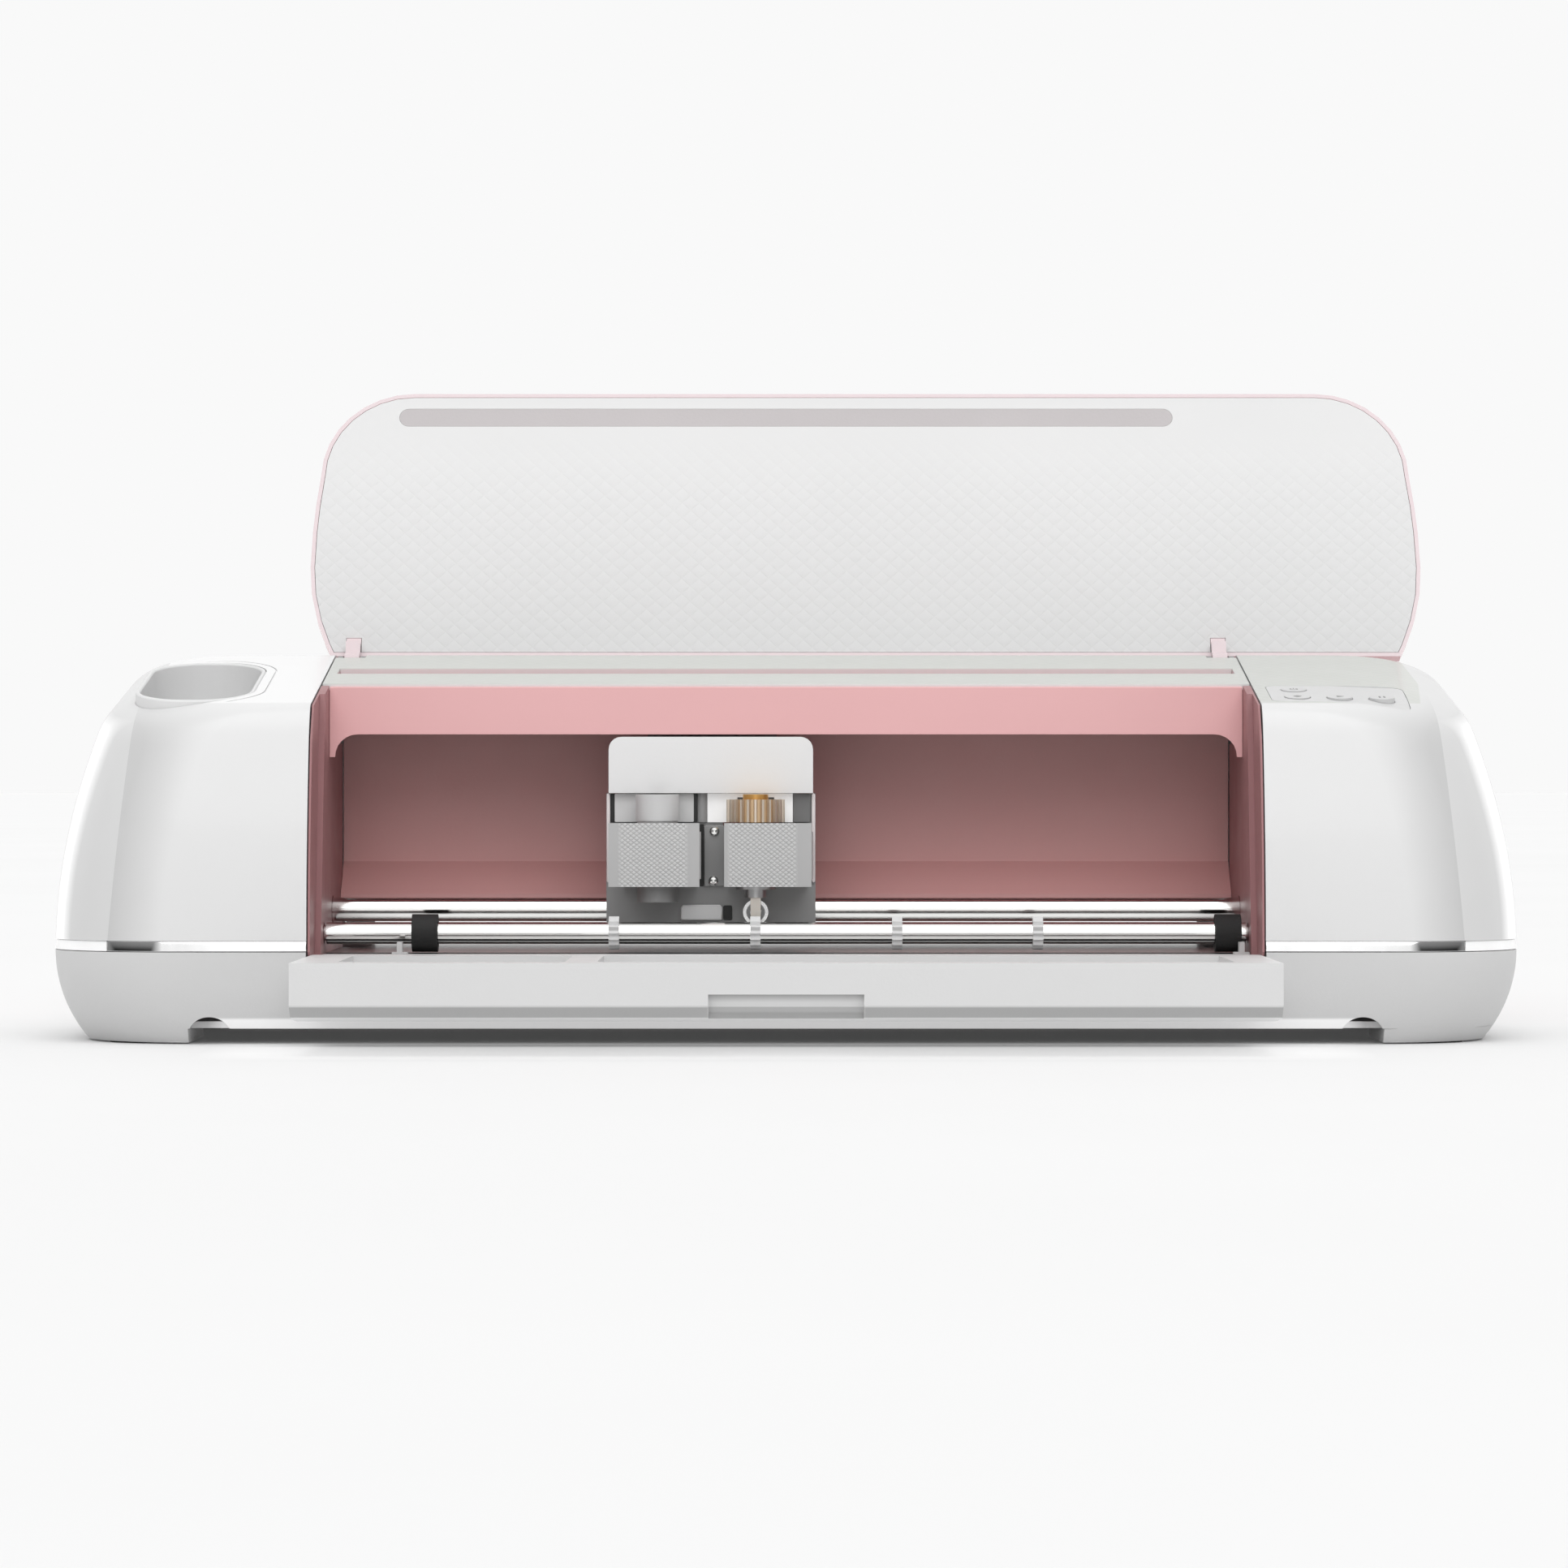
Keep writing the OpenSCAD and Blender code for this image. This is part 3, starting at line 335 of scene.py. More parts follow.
def base_plastic(name, colour, rough):
    """Grey plastic of the base, with a painted glow on its bottom edge for the light it picks up from the
    floor in front.
    """
    look = Look(name)
    low = look.ramp(look.here["Z"], BASE_BOUNCE, 0.0, BASE_EDGE, BASE_EDGE + 1 * MM)
    between = look.ramp(look.size(look.here["X"]), 1.0, 0.0, BASE_EDGE_HALF, BASE_EDGE_HALF + 6 * MM)
    ahead = look.ramp(look.here["Y"], 1.0, 0.0, BASE_LOW.y + 12 * MM, BASE_LOW.y + 20 * MM)
    look.paint(colour, look.mottled(0.98))
    # painted light: the bottom edge glows between the feet, near the front
    look.set(Emission_Color=WHITE, Emission_Strength=look.product(low, between, ahead))
    look.uneven(rough)
    look.skin(0.1)
    return look.material


def door_plastic(name, colour, rough):
    """Grey plastic of the door, with painted shade on its sloping lower edge and in the finger scoop."""
    look = Look(name)
    height = look.here["Z"]
    slope_shade = look.product(look.ramp(look.facing()["Y"], 1.0, 0.0, -0.35, -0.3),
                         look.ramp(height, 1.0, 0.0, DOOR_FOLD - 0.4 * MM, DOOR_FOLD + 0.2 * MM))
    back = DOOR_FRONT + SCOOP_DEEP
    scoop = look.product(look.ramp(look.size(look.here["X"]), 1.0, 0.0, SCOOP_HALF, SCOOP_HALF + 0.3 * MM),
                         look.ramp(look.here["Y"], 0.0, 1.0, DOOR_FRONT + 0.6 * MM, DOOR_FRONT + 1.2 * MM),
                         look.ramp(look.here["Y"], 1.0, 0.0, back, back + 0.5 * MM))
    # painted shade in the scoop: darkest under its top, lighter towards its foot
    inside = look.ramp(height, 1.15, 0.45, DOOR_FOLD + 0.8 * MM, DOOR_FOLD + 4.8 * MM)
    look.paint(colour, look.product(look.mottled(0.985), look.ramp(slope_shade, 1.0, 0.58, 0.0, 1.0),
                                    look.part_way(scoop, 1.0, inside)))
    look.uneven(rough)
    look.skin(0.08)
    return look.material


def lid_plastic(name, outer, rim, rough):
    """Lid moulding: one colour outside, and a paler one on its hinge lugs and the edge that faces
    into the machine."""
    look = Look(name)
    from_lug = look.size(look.math("SUBTRACT", look.size(look.here["X"]), LUG_X * MM))
    lugs = look.product(look.ramp(look.here["Z"], 1.0, 0.0, LID_AXIS.z + 7 * MM, LID_AXIS.z + 8 * MM),
                        look.ramp(from_lug, 1.0, 0.0, 3.2 * MM, 3.4 * MM))
    ahead = look.ramp(look.facing()["Y"], 1.0, 0.0, -0.6, -0.3)
    share = look.product(look.math("MAXIMUM", ahead, lugs), look.ramp(look.noise(40.0), 0.94, 1.0))
    look.set(Base_Color=look.mix(share, opaque(outer), opaque(rim)), Coat_Weight=0.5, Coat_Roughness=0.08)
    look.uneven(rough, 1.1)
    look.skin(0.05)
    return look.material


def embossed(name, colour, rough, cell, depth, fades=(), low=None, groove=0.0):
    """Plastic pressed with rows of overlapping diamonds, fading out past each place in fades.
    low gives the share of the colour left at the foot of the piece, as painted shade, and groove
    darkens the joins."""
    look = Look(name)
    height = look.diamonds(look.here["X"], look.here["Z"], cell)
    for axis, start, end in fades:
        height = look.product(height, look.ramp(look.here[axis], 1.0, 0.0, start, end))
    fine = look.noise(1100.0, 2.0)
    light = look.mottled(0.97, 7.0)
    if low:
        share, foot, head = low
        light = look.product(light, look.ramp(look.here["Z"], share, 1.0, foot, head))
    if groove:
        light = look.product(light, look.ramp(height, 1 - groove, 1.0, 0.0, 0.6))
    look.paint(colour, light)
    look.set(Roughness=look.ramp(fine, rough * 0.92, rough * 1.1))
    look.bump(look.math("ADD", height, look.product(fine, 0.06)), depth * MM)
    return look.material


def blade_steel(name):
    """Ground steel disc: bright hub, then a dark waist and a bright ground edge, painted as a highlight ring.
    """
    look = Look(name)
    reach = look.near_axis(BLADE_AXIS, "X", "Z")
    waist = look.product(look.ramp(reach, 0.0, 1.0, 2.0 * MM, 2.3 * MM),
                         look.ramp(reach, 1.0, 0.0, 3.5 * MM, 3.9 * MM))
    lines = look.noise(900.0, 3.0)
    look.paint(srgb(238), look.product(look.ramp(waist, 1.0, 0.22, 0.0, 1.0), look.ramp(lines, 0.9, 1.0)))
    look.set(Metallic=0.7, Roughness=look.ramp(lines, 0.2, 0.3))
    look.bump(lines, 0.005 * MM, 0.4)
    return look.material


def two_tone_gear(name, core, teeth):
    """Satin metal, one colour round the axis of the tool gear and a paler one at its teeth."""
    look = Look(name)
    turned = look.noise(500.0, 3.0, 0.6, (1, 1, 20))
    outside = look.ramp(look.near_axis(GEAR_AXIS, "X", "Y"), 0.0, 0.8, 9.2 * MM, 10.4 * MM)
    below = look.ramp(look.here["Z"], 1.0, 0.0, GEAR_FOOT, GEAR_FOOT + 0.3 * MM)
    share = look.product(look.math("MAXIMUM", outside, below), look.ramp(turned, 0.85, 1.0))
    look.set(Metallic=0.75, Base_Color=look.mix(share, opaque(core), opaque(teeth)))
    look.set(Roughness=look.ramp(turned, 0.34, 0.46))
    look.bump(turned, 0.01 * MM, 0.4)
    return look.material


# ---------------------------------------------------------------- mesh helpers


def make_object(name, bm, body, material):
    """A piece from its mesh, with its material, riding one body."""
    mesh = bpy.data.meshes.new(name)
    bmesh.ops.recalc_face_normals(bm, faces=bm.faces)
    bm.to_mesh(mesh)
    bm.free()
    piece = bpy.data.objects.new(name, mesh)
    bpy.context.scene.collection.objects.link(piece)
    mesh.materials.append(material)
    shade(piece, 35)
    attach(piece, body)
    return piece


def shade(piece, angle):
    """Smooth shading, with sharp edges above an angle in degrees."""
    piece.data.shade_smooth()
    piece.data.set_sharp_from_angle(angle=math.radians(angle))


def loft(rings, caps=True):
    """Closed solid through rings of equal length, each a list of points in millimetres."""
    bm = bmesh.new()
    rows = [[bm.verts.new(Vector(p) * MM) for p in ring] for ring in rings]
    count = len(rings[0])
    for low, high in zip(rows, rows[1:]):
        for i in range(count):
            k = (i + 1) % count
            bm.faces.new((low[i], low[k], high[k], high[i]))
    if caps:
        for row in (rows[0], rows[-1]):
            for i in range(count // 2 - 1):
                bm.faces.new((row[i], row[i + 1], row[count - 2 - i], row[count - 1 - i]))
    return bm


def box_bm(low, high):
    """Box between two corners in millimetres."""
    bm = bmesh.new()
    bmesh.ops.create_cube(bm, size=1.0)
    size = Vector(high) - Vector(low)
    middle = (Vector(high) + Vector(low)) / 2
    for vert in bm.verts:
        vert.co = (Vector(v * s for v, s in zip(vert.co, size)) + middle) * MM
    return bm


def prism(points, low, high, axis):
    """Outline pushed along an axis between two places, in millimetres."""
    def place(p, h):
        return {"X": (h, p[0], p[1]), "Y": (p[0], h, p[1]), "Z": (p[0], p[1], h)}[axis]
    bm = bmesh.new()
    ends = [[bm.verts.new(Vector(place(p, h)) * MM) for p in points] for h in (low, high)]
    for i in range(len(points)):
        k = (i + 1) % len(points)
        bm.faces.new((ends[0][i], ends[0][k], ends[1][k], ends[1][i]))
    bm.faces.new(ends[0])
    bm.faces.new(list(reversed(ends[1])))
    bmesh.ops.recalc_face_normals(bm, faces=bm.faces)
    return bm


def solid(bm):
    """A loose object for boolean work."""
    bmesh.ops.recalc_face_normals(bm, faces=bm.faces)
    mesh = bpy.data.meshes.new("tool")
    bm.to_mesh(mesh)
    bm.free()
    tool = bpy.data.objects.new("tool", mesh)
    bpy.context.scene.collection.objects.link(tool)
    return tool


def taken(tool):
    """Mesh of a loose object as a bmesh. The object itself goes."""
    bm = bmesh.new()
    bm.from_mesh(tool.data)
    bpy.data.objects.remove(tool)
    return bm


def cut(target, bm, operation="DIFFERENCE"):
    """Applies one exact boolean to a loose object."""
    tool = solid(bm)
    modifier = target.modifiers.new("cut", "BOOLEAN")
    modifier.object = tool
    modifier.operation = operation
    modifier.solver = "EXACT"
    apply_modifiers(target)
    bpy.data.objects.remove(tool)
    return target


def apply_modifiers(target):
    graph = bpy.context.evaluated_depsgraph_get()
    graph.update()
    mesh = bpy.data.meshes.new_from_object(target.evaluated_get(graph))
    target.modifiers.clear()
    target.data = mesh


def soften(piece, width, angle=40.0):
    """Rounds the hard edges of a piece."""
    bevel = piece.modifiers.new("edges", "BEVEL")
    bevel.width = width * MM
    bevel.segments = 2
    bevel.limit_method = "ANGLE"
    bevel.angle_limit = math.radians(angle)
    bevel.harden_normals = False
    bevel.use_clamp_overlap = True
    return piece


def dress(node, material, bevel=0.0):
    """Gives a CAD node its material and, where asked, softened edges."""
    piece = NODES[node]
    piece.data.materials.clear()
    piece.data.materials.append(material)
    if bevel:
        soften(piece, bevel)
    return piece


# ---------------------------------------------------------------- materials

WHITE_SHELL = plastic("white_shell", srgb(239), 0.34, coat=0.35, spread=0.01)
# the caps carry a painted highlight along their edges
CAP_WHITE = casing_plastic("cap_white", srgb(219), 0.34, rim=0.4)
# painted shade where the fascia turns to the side, and its flat top painted paler than its front as painted
# light from above
FASCIA_WHITE = casing_plastic("fascia_white", srgb(229), 0.34, turn=0.77, deck=srgb(241), emboss=0.0)
BASE_GREY = base_plastic("base_grey", srgb(212), 0.45)
DOOR_GREY = door_plastic("door_grey", srgb(221), 0.42)
TRAY_GREY = plastic("tray_grey", srgb(222), 0.42, grain=0.08, spread=0.015)
DOCK_ROSE = plastic("dock_rose", srgb(234, 130, 142), 0.42, grain=0.08, spread=0.05)
BEAM_ROSE = plastic("beam_rose", srgb(240, 186, 187), 0.4, grain=0.06, spread=0.03)
# painted shade: the rear wall darkens upwards under the beam, and its ledge is painted paler
WALL_ROSE = graded("wall_rose", srgb(238, 182, 180), 0.45, (50 * MM, 1.04), (112 * MM, 0.78), 1.3)
ROSE_GLOSS = lid_plastic("rose_gloss", srgb(232, 178, 182), srgb(226, 210, 213), 0.22)
JAMB_ROSE = plastic("jamb_rose", srgb(168, 120, 122), 0.45, grain=0.08, spread=0.05)
LID_FOOT = LID_AXIS.z
# painted shade: the lid's inner panel darkens towards its foot
LID_WHITE = embossed("lid_white", srgb(230), 0.42, DIAMOND, 0.16,
                     fades=[("Z", LID_FOOT + 70 * MM, LID_FOOT + 96 * MM)],
                     low=(0.88, LID_FOOT, LID_FOOT + 85 * MM))
# painted shade where the housing turns to the side
DECK_WHITE = casing_plastic("deck_white", srgb(229), 0.34, turn=0.77, deck=srgb(204, 206, 201))
GRIP_GREY = plastic("grip_grey", srgb(197, 192, 193), 0.5, grain=0.12)
CUP_GREY = plastic("cup_grey", srgb(229), 0.5, grain=0.08)
KEY_WHITE = plastic("keypad_white", srgb(214), 0.4)
BUTTON_GREY = plastic("button_grey", srgb(212), 0.35)
ICON_GREY = plastic("icon_grey", srgb(150), 0.5)
BOARD_GREEN = plastic("board_green", srgb(28, 92, 52), 0.4, grain=0.05)
STEEL = metal("plate_steel", srgb(196), 0.32, (1, 1, 14))
POLISHED = metal("polished_steel", srgb(242, 242, 240), 0.09, (1, 60, 60), 500.0, 0.002)
# a faint painted glow brightens the white bands
BAND_WHITE = plastic("band_white", srgb(250), 0.18, coat=0.6, spread=0.005, glow=0.1)
CHROME = metal("chrome_trim", srgb(250), 0.05, (1, 1, 1), 60.0, 0.001)
ROLLER = metal("roller_dark", srgb(120), 0.4, (1, 1, 1), 900.0, 0.05)
RUBBER = plastic("black_rubber", srgb(34), 0.75, grain=0.2)
BLACK = plastic("black_plastic", srgb(28), 0.45)
MOTOR = metal("motor_metal", srgb(96), 0.4, (40, 1, 1))
STAR_WHITE = plastic("star_white", srgb(222), 0.4)
IVORY = plastic("gear_ivory", srgb(232, 224, 200), 0.45)
BRONZE = metal("bronze", srgb(186, 142, 84), 0.35)
GATE_A = embossed("gate_a_silver", srgb(212), 0.42, GATE_SCALE, 0.3, groove=0.22,
                  fades=[("X", *edge(-10.5, -8.5)), ("X", *edge(-34.5, -36.5))])
GATE_B = embossed("gate_b_silver", srgb(210), 0.42, GATE_SCALE, 0.3, groove=0.22,
                  fades=[("X", *edge(32.5, 34.5)), ("X", *edge(8.5, 6.5))])
CLAMP = plastic("clamp_grey", srgb(150), 0.4)
# painted shade: the accessory sleeve darkens towards its foot
ADAPTER = graded("adapter_grey", srgb(210), 0.34, (60 * MM, 0.4), (72 * MM, 1.0), 1.0)
FRAME_GREY = plastic("frame_grey", srgb(157), 0.38, coat=0.15)
GOLD = two_tone_gear("gold_gear", srgb(212, 168, 100), srgb(222, 218, 212))
WINDOW_GREY = plastic("window_grey", srgb(226), 0.4)
# a painted glow brightens the white back of the window
WINDOW_WHITE = plastic("window_white", srgb(252), 0.34, coat=0.3, spread=0.005, glow=0.22)
FLANGE_WHITE = plastic("flange_white", srgb(240, 232, 232), 0.34, coat=0.3)
DARK_GREY = plastic("dark_grey", srgb(124), 0.5)
BAR_GREY = plastic("bar_grey", srgb(150), 0.35, coat=0.2)
SENSOR_GREY = plastic("sensor_grey", srgb(252), 0.4)
NOSE_GREY = metal("nose_grey", srgb(190), 0.35, (1, 1, 20), 400.0)
BLADE = blade_steel("blade_steel")

# ---------------------------------------------------------------- casing loft

# t runs from 0 at the split to 1 at the top of the casing
CREST_H = LID_AXIS.z / MM + 3.0
SIDE_LEAN = 22.4
FRONT_LEAN = 14.0
REAR_LEAN = 3.0
DECK_SLOPE = math.tan(DECK_TILT)
REAR_DROP = 0.55
ROOF_SPARE = 1.05
CREST_SOFT = 1.2
FRONT_CORNER = 47.0
REAR_CORNER = 30.0
BASE_ROUND = 60.0


def shoulder(t, start, depth, power):
    """Extra inward rounding above the start, reaching its full depth at the top."""
    if t <= start:
        return 0.0
    u = min(1.0, (t - start) / (1 - start))
    return depth * (1 - (1 - u ** power) ** (1 / power))


def side_half(t):
    """Half the casing's width."""
    return BODY_W / 2 - SIDE_LEAN * t * t - shoulder(t, 0.82, 48, 3)


def front_face(t):
    """Place of the casing's front."""
    return -BODY_D / 2 + FRONT_LEAN * t * t + shoulder(t, 0.9, 5, 2)


def rear_face(t):
    """Place of the casing's back."""
    return BODY_D / 2 - REAR_LEAN * t * t - shoulder(t, 0.75, 8, 2)


def rise(y):
    """Height of the deck's tilted plane."""
    return CREST_H + (y - CREST_Y) * DECK_SLOPE


def deck_z(y):
    """Height of the casing's top: up to a soft crest, and down behind it."""
    up = (y - CREST_Y) * DECK_SLOPE
    down = -(y - CREST_Y) * REAR_DROP
    return CREST_H - CREST_SOFT * math.log(math.exp(-up / CREST_SOFT) + math.exp(-down / CREST_SOFT))


def half_outline(half, front, rear, inset, stations=()):
    """Right half of a plan outline, from its front round both corners to its rear."""
    turns = [k * math.pi / 2 / CORNER_STEPS for k in range(CORNER_STEPS + 1)]
    near = FRONT_CORNER - inset
    far = REAR_CORNER - inset
    start = [(half - near + near * math.sin(a), front + near - near * math.cos(a)) for a in turns]
    end = [(half - far + far * math.cos(a), rear - far + far * math.sin(a)) for a in turns]
    return start + [(half, y) for y in stations] + end


def casing_outline(t, inset):
    """Right half of the casing's plan at t, pulled in by the inset."""
    return half_outline(side_half(t) - inset, front_face(t) + inset, rear_face(t) - inset, inset, STATIONS)


def both_sides(half):
    """A right half mirrored into a closed ring."""
    return half + [(-p[0], p[1], p[2]) for p in reversed(half)]


# places along the side, closer together at the crest, and steps of t, closer at the shoulder
CORNER_STEPS = 18
STATIONS = [-20, -8, 4, 16, 26, 33, 37, 40, 42, 43.5, 44.5, 46, 48]
RISES = [k / 16 for k in range(13)] + [0.8 + 0.2 * math.sin(k * math.pi / 40) for k in range(21)]


def upper_rings(inset, start):
    """Rings of the casing above the split, from the start height up to its top."""
    roof = inset * ROOF_SPARE

    def height(t, y):
        return start + t * (deck_z(y) - roof - start)

    return [both_sides([(x, y, height(t, y)) for x, y in casing_outline(t, inset)]) for t in RISES]


def casing_shell():
    """The whole casing above the split, as a hollow shell."""
    shell = solid(loft(upper_rings(0.0, SPLIT_Z)))
    return cut(shell, loft(upper_rings(WALL, SPLIT_Z - 2)))


def copy_of(shell):
    """A loose twin of a shell, ready to be cut."""
    twin = shell.copy()
    twin.data = shell.data.copy()
    bpy.context.scene.collection.objects.link(twin)
    return twin


# further than any piece reaches
FAR = 400.0

# the crease between a fascia and its side cap leans in as it rises
CREASE_X = 262
CREASE_TOP_X = 250.9
CREASE_TOP = 160


def span(side, near, far=FAR):
    """The two ends of a stretch on one side of the middle, lower one first."""
    return (near, far) if side > 0 else (-far, -near)


def cap_zone(side):
    """Everything outside the crease between the fascia and a side cap."""
    points = [(CREASE_X, 30), (CREASE_X, SPLIT_Z), (CREASE_TOP_X, CREASE_TOP), (FAR, CREASE_TOP), (FAR, 30)]
    return prism([(side * x, z) for x, z in points], -FAR, FAR, "Y")


def finish_shell(shell, name, material, *nodes, bevel=0.35):
    """Names a casing piece, moves it into place and lets it stand for its CAD nodes."""
    shell.data.transform(Matrix.Translation((0, BODY_Y, 0)))
    shell.name = name
    shell.data.materials.clear()
    shell.data.materials.append(material)
    shade(shell, 32)
    if bevel:
        soften(shell, bevel, 50)
    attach(shell, "body")
    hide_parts(*nodes)
    return shell


def round_rect(cx, cy, w, d, r, steps=10):
    """Outline of a rectangle with round corners."""
    points = []
    for c in range(4):
        sx = 1 if c in (0, 3) else -1
        sy = 1 if c < 2 else -1
        for k in range(steps + 1):
            a = math.radians(c * 90 + k * 90 / steps)
            points.append((cx + sx * (w / 2 - r) + r * math.cos(a), cy + sy * (d / 2 - r) + r * math.sin(a)))
    return points


# ---------------------------------------------------------------- casing pieces

CUP_X = middle_of("cup_liner").x / MM
CUP_Y = (middle_of("cup_liner").y - BODY_Y) / MM
CUP_W = 47
CUP_D = 86
CUP_CORNER = 22
CUP_WALL = 1.8

# the groove round the cup's mouth, from the cup's outline
GROOVE_IN = 3.7
GROOVE_OUT = 4.4
GROOVE_DEEP = 0.5

# the keypad's opening in the deck
PAD_X = 216.5
PAD_Y = -48.0
PAD_W = 54
PAD_D = 34
PAD_CORNER = 4.0

# the chrome strip above the split, and how far back it runs
STRIP_FOOT = 0.15
STRIP_TOP = 4.0
STRIP_LEAN = 0.55
STRIP_BACK = -40

# half the width of the mat's way through, the foot of the bridge, the rear vents, the base's
# underside, and the gaps where two pieces meet or one lies inside the other
MAT_HALF = 172
BRIDGE_Z = 118
VENTS = 11
VENT_PITCH = 6
BELLY = 6.2
SEAM = 0.5
FIT = 0.2


def cup_prism(grow, low, high):
    """Upright block with the cup's outline, grown on all sides."""
    outline = round_rect(CUP_X, CUP_Y, CUP_W + 2 * grow, CUP_D + 2 * grow, CUP_CORNER + grow, 14)
    return prism(outline, low, high, "Z")


def deck_frame(x, y):
    """Matrix of the deck's tilted plane at a place on it, in the casing's own frame, metres."""
    return Matrix.Translation(Vector((x, y, rise(y))) * MM) @ Matrix.Rotation(DECK_TILT, 4, "X")


def on_deck(bm, x, y):
    """Lays a shape drawn on a level plane on the deck."""
    bm.transform(deck_frame(x, y))
    return bm


def rim_groove():
    """A ring round the cup's mouth, in the top of the deck."""
    ring = solid(cup_prism(GROOVE_OUT, 100, 170))
    cut(ring, cup_prism(GROOVE_IN, 90, 180))
    cut(ring, on_deck(box_bm((-60, -90, -30), (60, 90, -GROOVE_DEEP)), CUP_X, CUP_Y))
    return taken(ring)


def build_housings(shell):
    """Each housing's fascia and the cap beyond its crease."""
    for side, name, white in ((-1, "left", FASCIA_WHITE), (1, "right", DECK_WHITE)):
        part = copy_of(shell)
        x0, x1 = span(side, HALF_OPEN + SEAM)
        cut(part, box_bm((x0, -FAR, SPLIT_Z), (x1, FAR, FAR)), "INTERSECT")
        cut(part, cap_zone(side))
        cap = copy_of(shell)
        cut(cap, cap_zone(side), "INTERSECT")
        for piece in (part, cap):
            cut(piece, box_bm((-FAR, -FAR, SPLIT_Z - 1), (FAR, STRIP_BACK, SPLIT_Z + STRIP_TOP + STRIP_FOOT)))
        if side < 0:
            for piece in (part, cap):
                cut(piece, cup_prism(FIT, SPLIT_Z, FAR))
                cut(piece, rim_groove())
        else:
            opening = round_rect(0, 0, PAD_W + 2 * FIT, PAD_D + 2 * FIT, PAD_CORNER + FIT)
            cut(part, on_deck(prism(opening, -8, 8, "Z"), PAD_X, PAD_Y))
        finish_shell(part, name + "_housing_shell", white, name + "_housing", bevel=0.0)
        finish_shell(cap, name + "_side_cap_shell", CAP_WHITE, name + "_side_cap", bevel=0.0)


def strip_band():
    """The thin band above the split, leaning back so that it mirrors the studio and not the floor."""
    def ring(inset, z):
        return both_sides([(x, y, z) for x, y in casing_outline(0, inset)])
    leans = ((STRIP_FOOT, 0.0), (1.2, 0.1), (2.6, 0.3), (STRIP_TOP, STRIP_LEAN))
    band = solid(loft([ring(lean, SPLIT_Z + up) for up, lean in leans]))
    return cut(band, loft([ring(WALL, SPLIT_Z - 1), ring(WALL, SPLIT_Z + 6)]))


def build_trims():
    """Chrome strips under the fascias and white bands under the caps."""
    band = strip_band()
    cut(band, box_bm((-FAR, STRIP_BACK, 0), (FAR, FAR, FAR)))
    cut(band, box_bm((-HALF_OPEN - SEAM, -FAR, 0), (HALF_OPEN + SEAM, FAR, FAR)))
    caps = copy_of(band)
    for side in (-1, 1):
        cut(band, cap_zone(side))
        cut(caps, box_bm((-CREASE_X, -FAR, 0), (CREASE_X, FAR, FAR)))
    finish_shell(band, "chrome_strips", CHROME, "trim_strips", bevel=0.2)
    finish_shell(caps, "cap_bands", BAND_WHITE, bevel=0.2)


def build_rear(shell):
    """Rear cover, with the mat's way out, two sockets and a row of vents."""
    rear = copy_of(shell)
    cut(rear, box_bm((-HALF_OPEN, 60, SPLIT_Z), (HALF_OPEN, FAR, BRIDGE_Z - FIT)), "INTERSECT")
    cut(rear, box_bm((-MAT_HALF, 60, SPLIT_Z - 1), (MAT_HALF, FAR, 46)))
    inlet_x = middle_of("power_inlet").x / MM
    usb = middle_of("usb_port") / MM
    turns = [k * math.pi / 24 for k in range(48)]
    hole = [(inlet_x + 5 * math.cos(a), usb.z + 5 * math.sin(a)) for a in turns]
    cut(rear, prism(hole, 60, FAR, "Y"))
    cut(rear, box_bm((usb.x - 7, 60, usb.z - 6.5), (usb.x + 7, FAR, usb.z + 6.5)))
    for k in range(VENTS):
        x = -150 + k * VENT_PITCH
        cut(rear, box_bm((x - 1.2, 60, 66), (x + 1.2, FAR, 92)))
    finish_shell(rear, "rear_cover_shell", WHITE_SHELL, "rear_cover")


def build_bridge(shell):
    """Top bridge, with the dock slot and the cut-outs for the lid's lugs."""
    slot_y = 3.4
    slot_half = 6.25
    bridge = copy_of(shell)
    cut(bridge, box_bm((-HALF_OPEN, -25.9, BRIDGE_Z), (HALF_OPEN, FAR, FAR)), "INTERSECT")
    cut(bridge, box_bm((-180, slot_y - slot_half, 100), (180, slot_y + slot_half, FAR)))
    for side in (-1, 1):
        lug = side * LUG_X
        cut(bridge, box_bm((lug - 6, 35, 142), (lug + 6, 58, FAR)))
    finish_shell(bridge, "top_bridge_shell", DECK_WHITE, "top_bridge")


def tuck(z):
    """How far the base's side is drawn in at a height."""
    return BASE_ROUND - math.sqrt(BASE_ROUND ** 2 - (SPLIT_Z - z) ** 2)


def base_rings(inset, low, high, steps=14):
    """Rings of the base between two heights, pulled in by the inset."""
    rings = []
    for k in range(steps + 1):
        z = low + (high - low) * k / steps
        d = tuck(min(z, SPLIT_Z)) + inset
        half = half_outline(BODY_W / 2 - d, -BODY_D / 2 + d, BODY_D / 2 - d, inset)
        rings.append(both_sides([(x, y, z) for x, y in half]))
    return rings


def foot_block(side, y0, y1):
    """A foot that runs down from the belly, following the base's outline."""
    block = solid(loft(base_rings(0.0, 0.6, 7.2, 8)))
    x0, x1 = span(side, 231)
    foot = taken(cut(block, box_bm((x0, y0, 0), (x1, y1, 8)), "INTERSECT"))
    # Scaling up and back rounds the last digit of each place. Without it the union leaves a crease.
    for vert in foot.verts:
        vert.co /= MM
    bmesh.ops.scale(foot, vec=(MM, MM, MM), verts=foot.verts)
    return foot


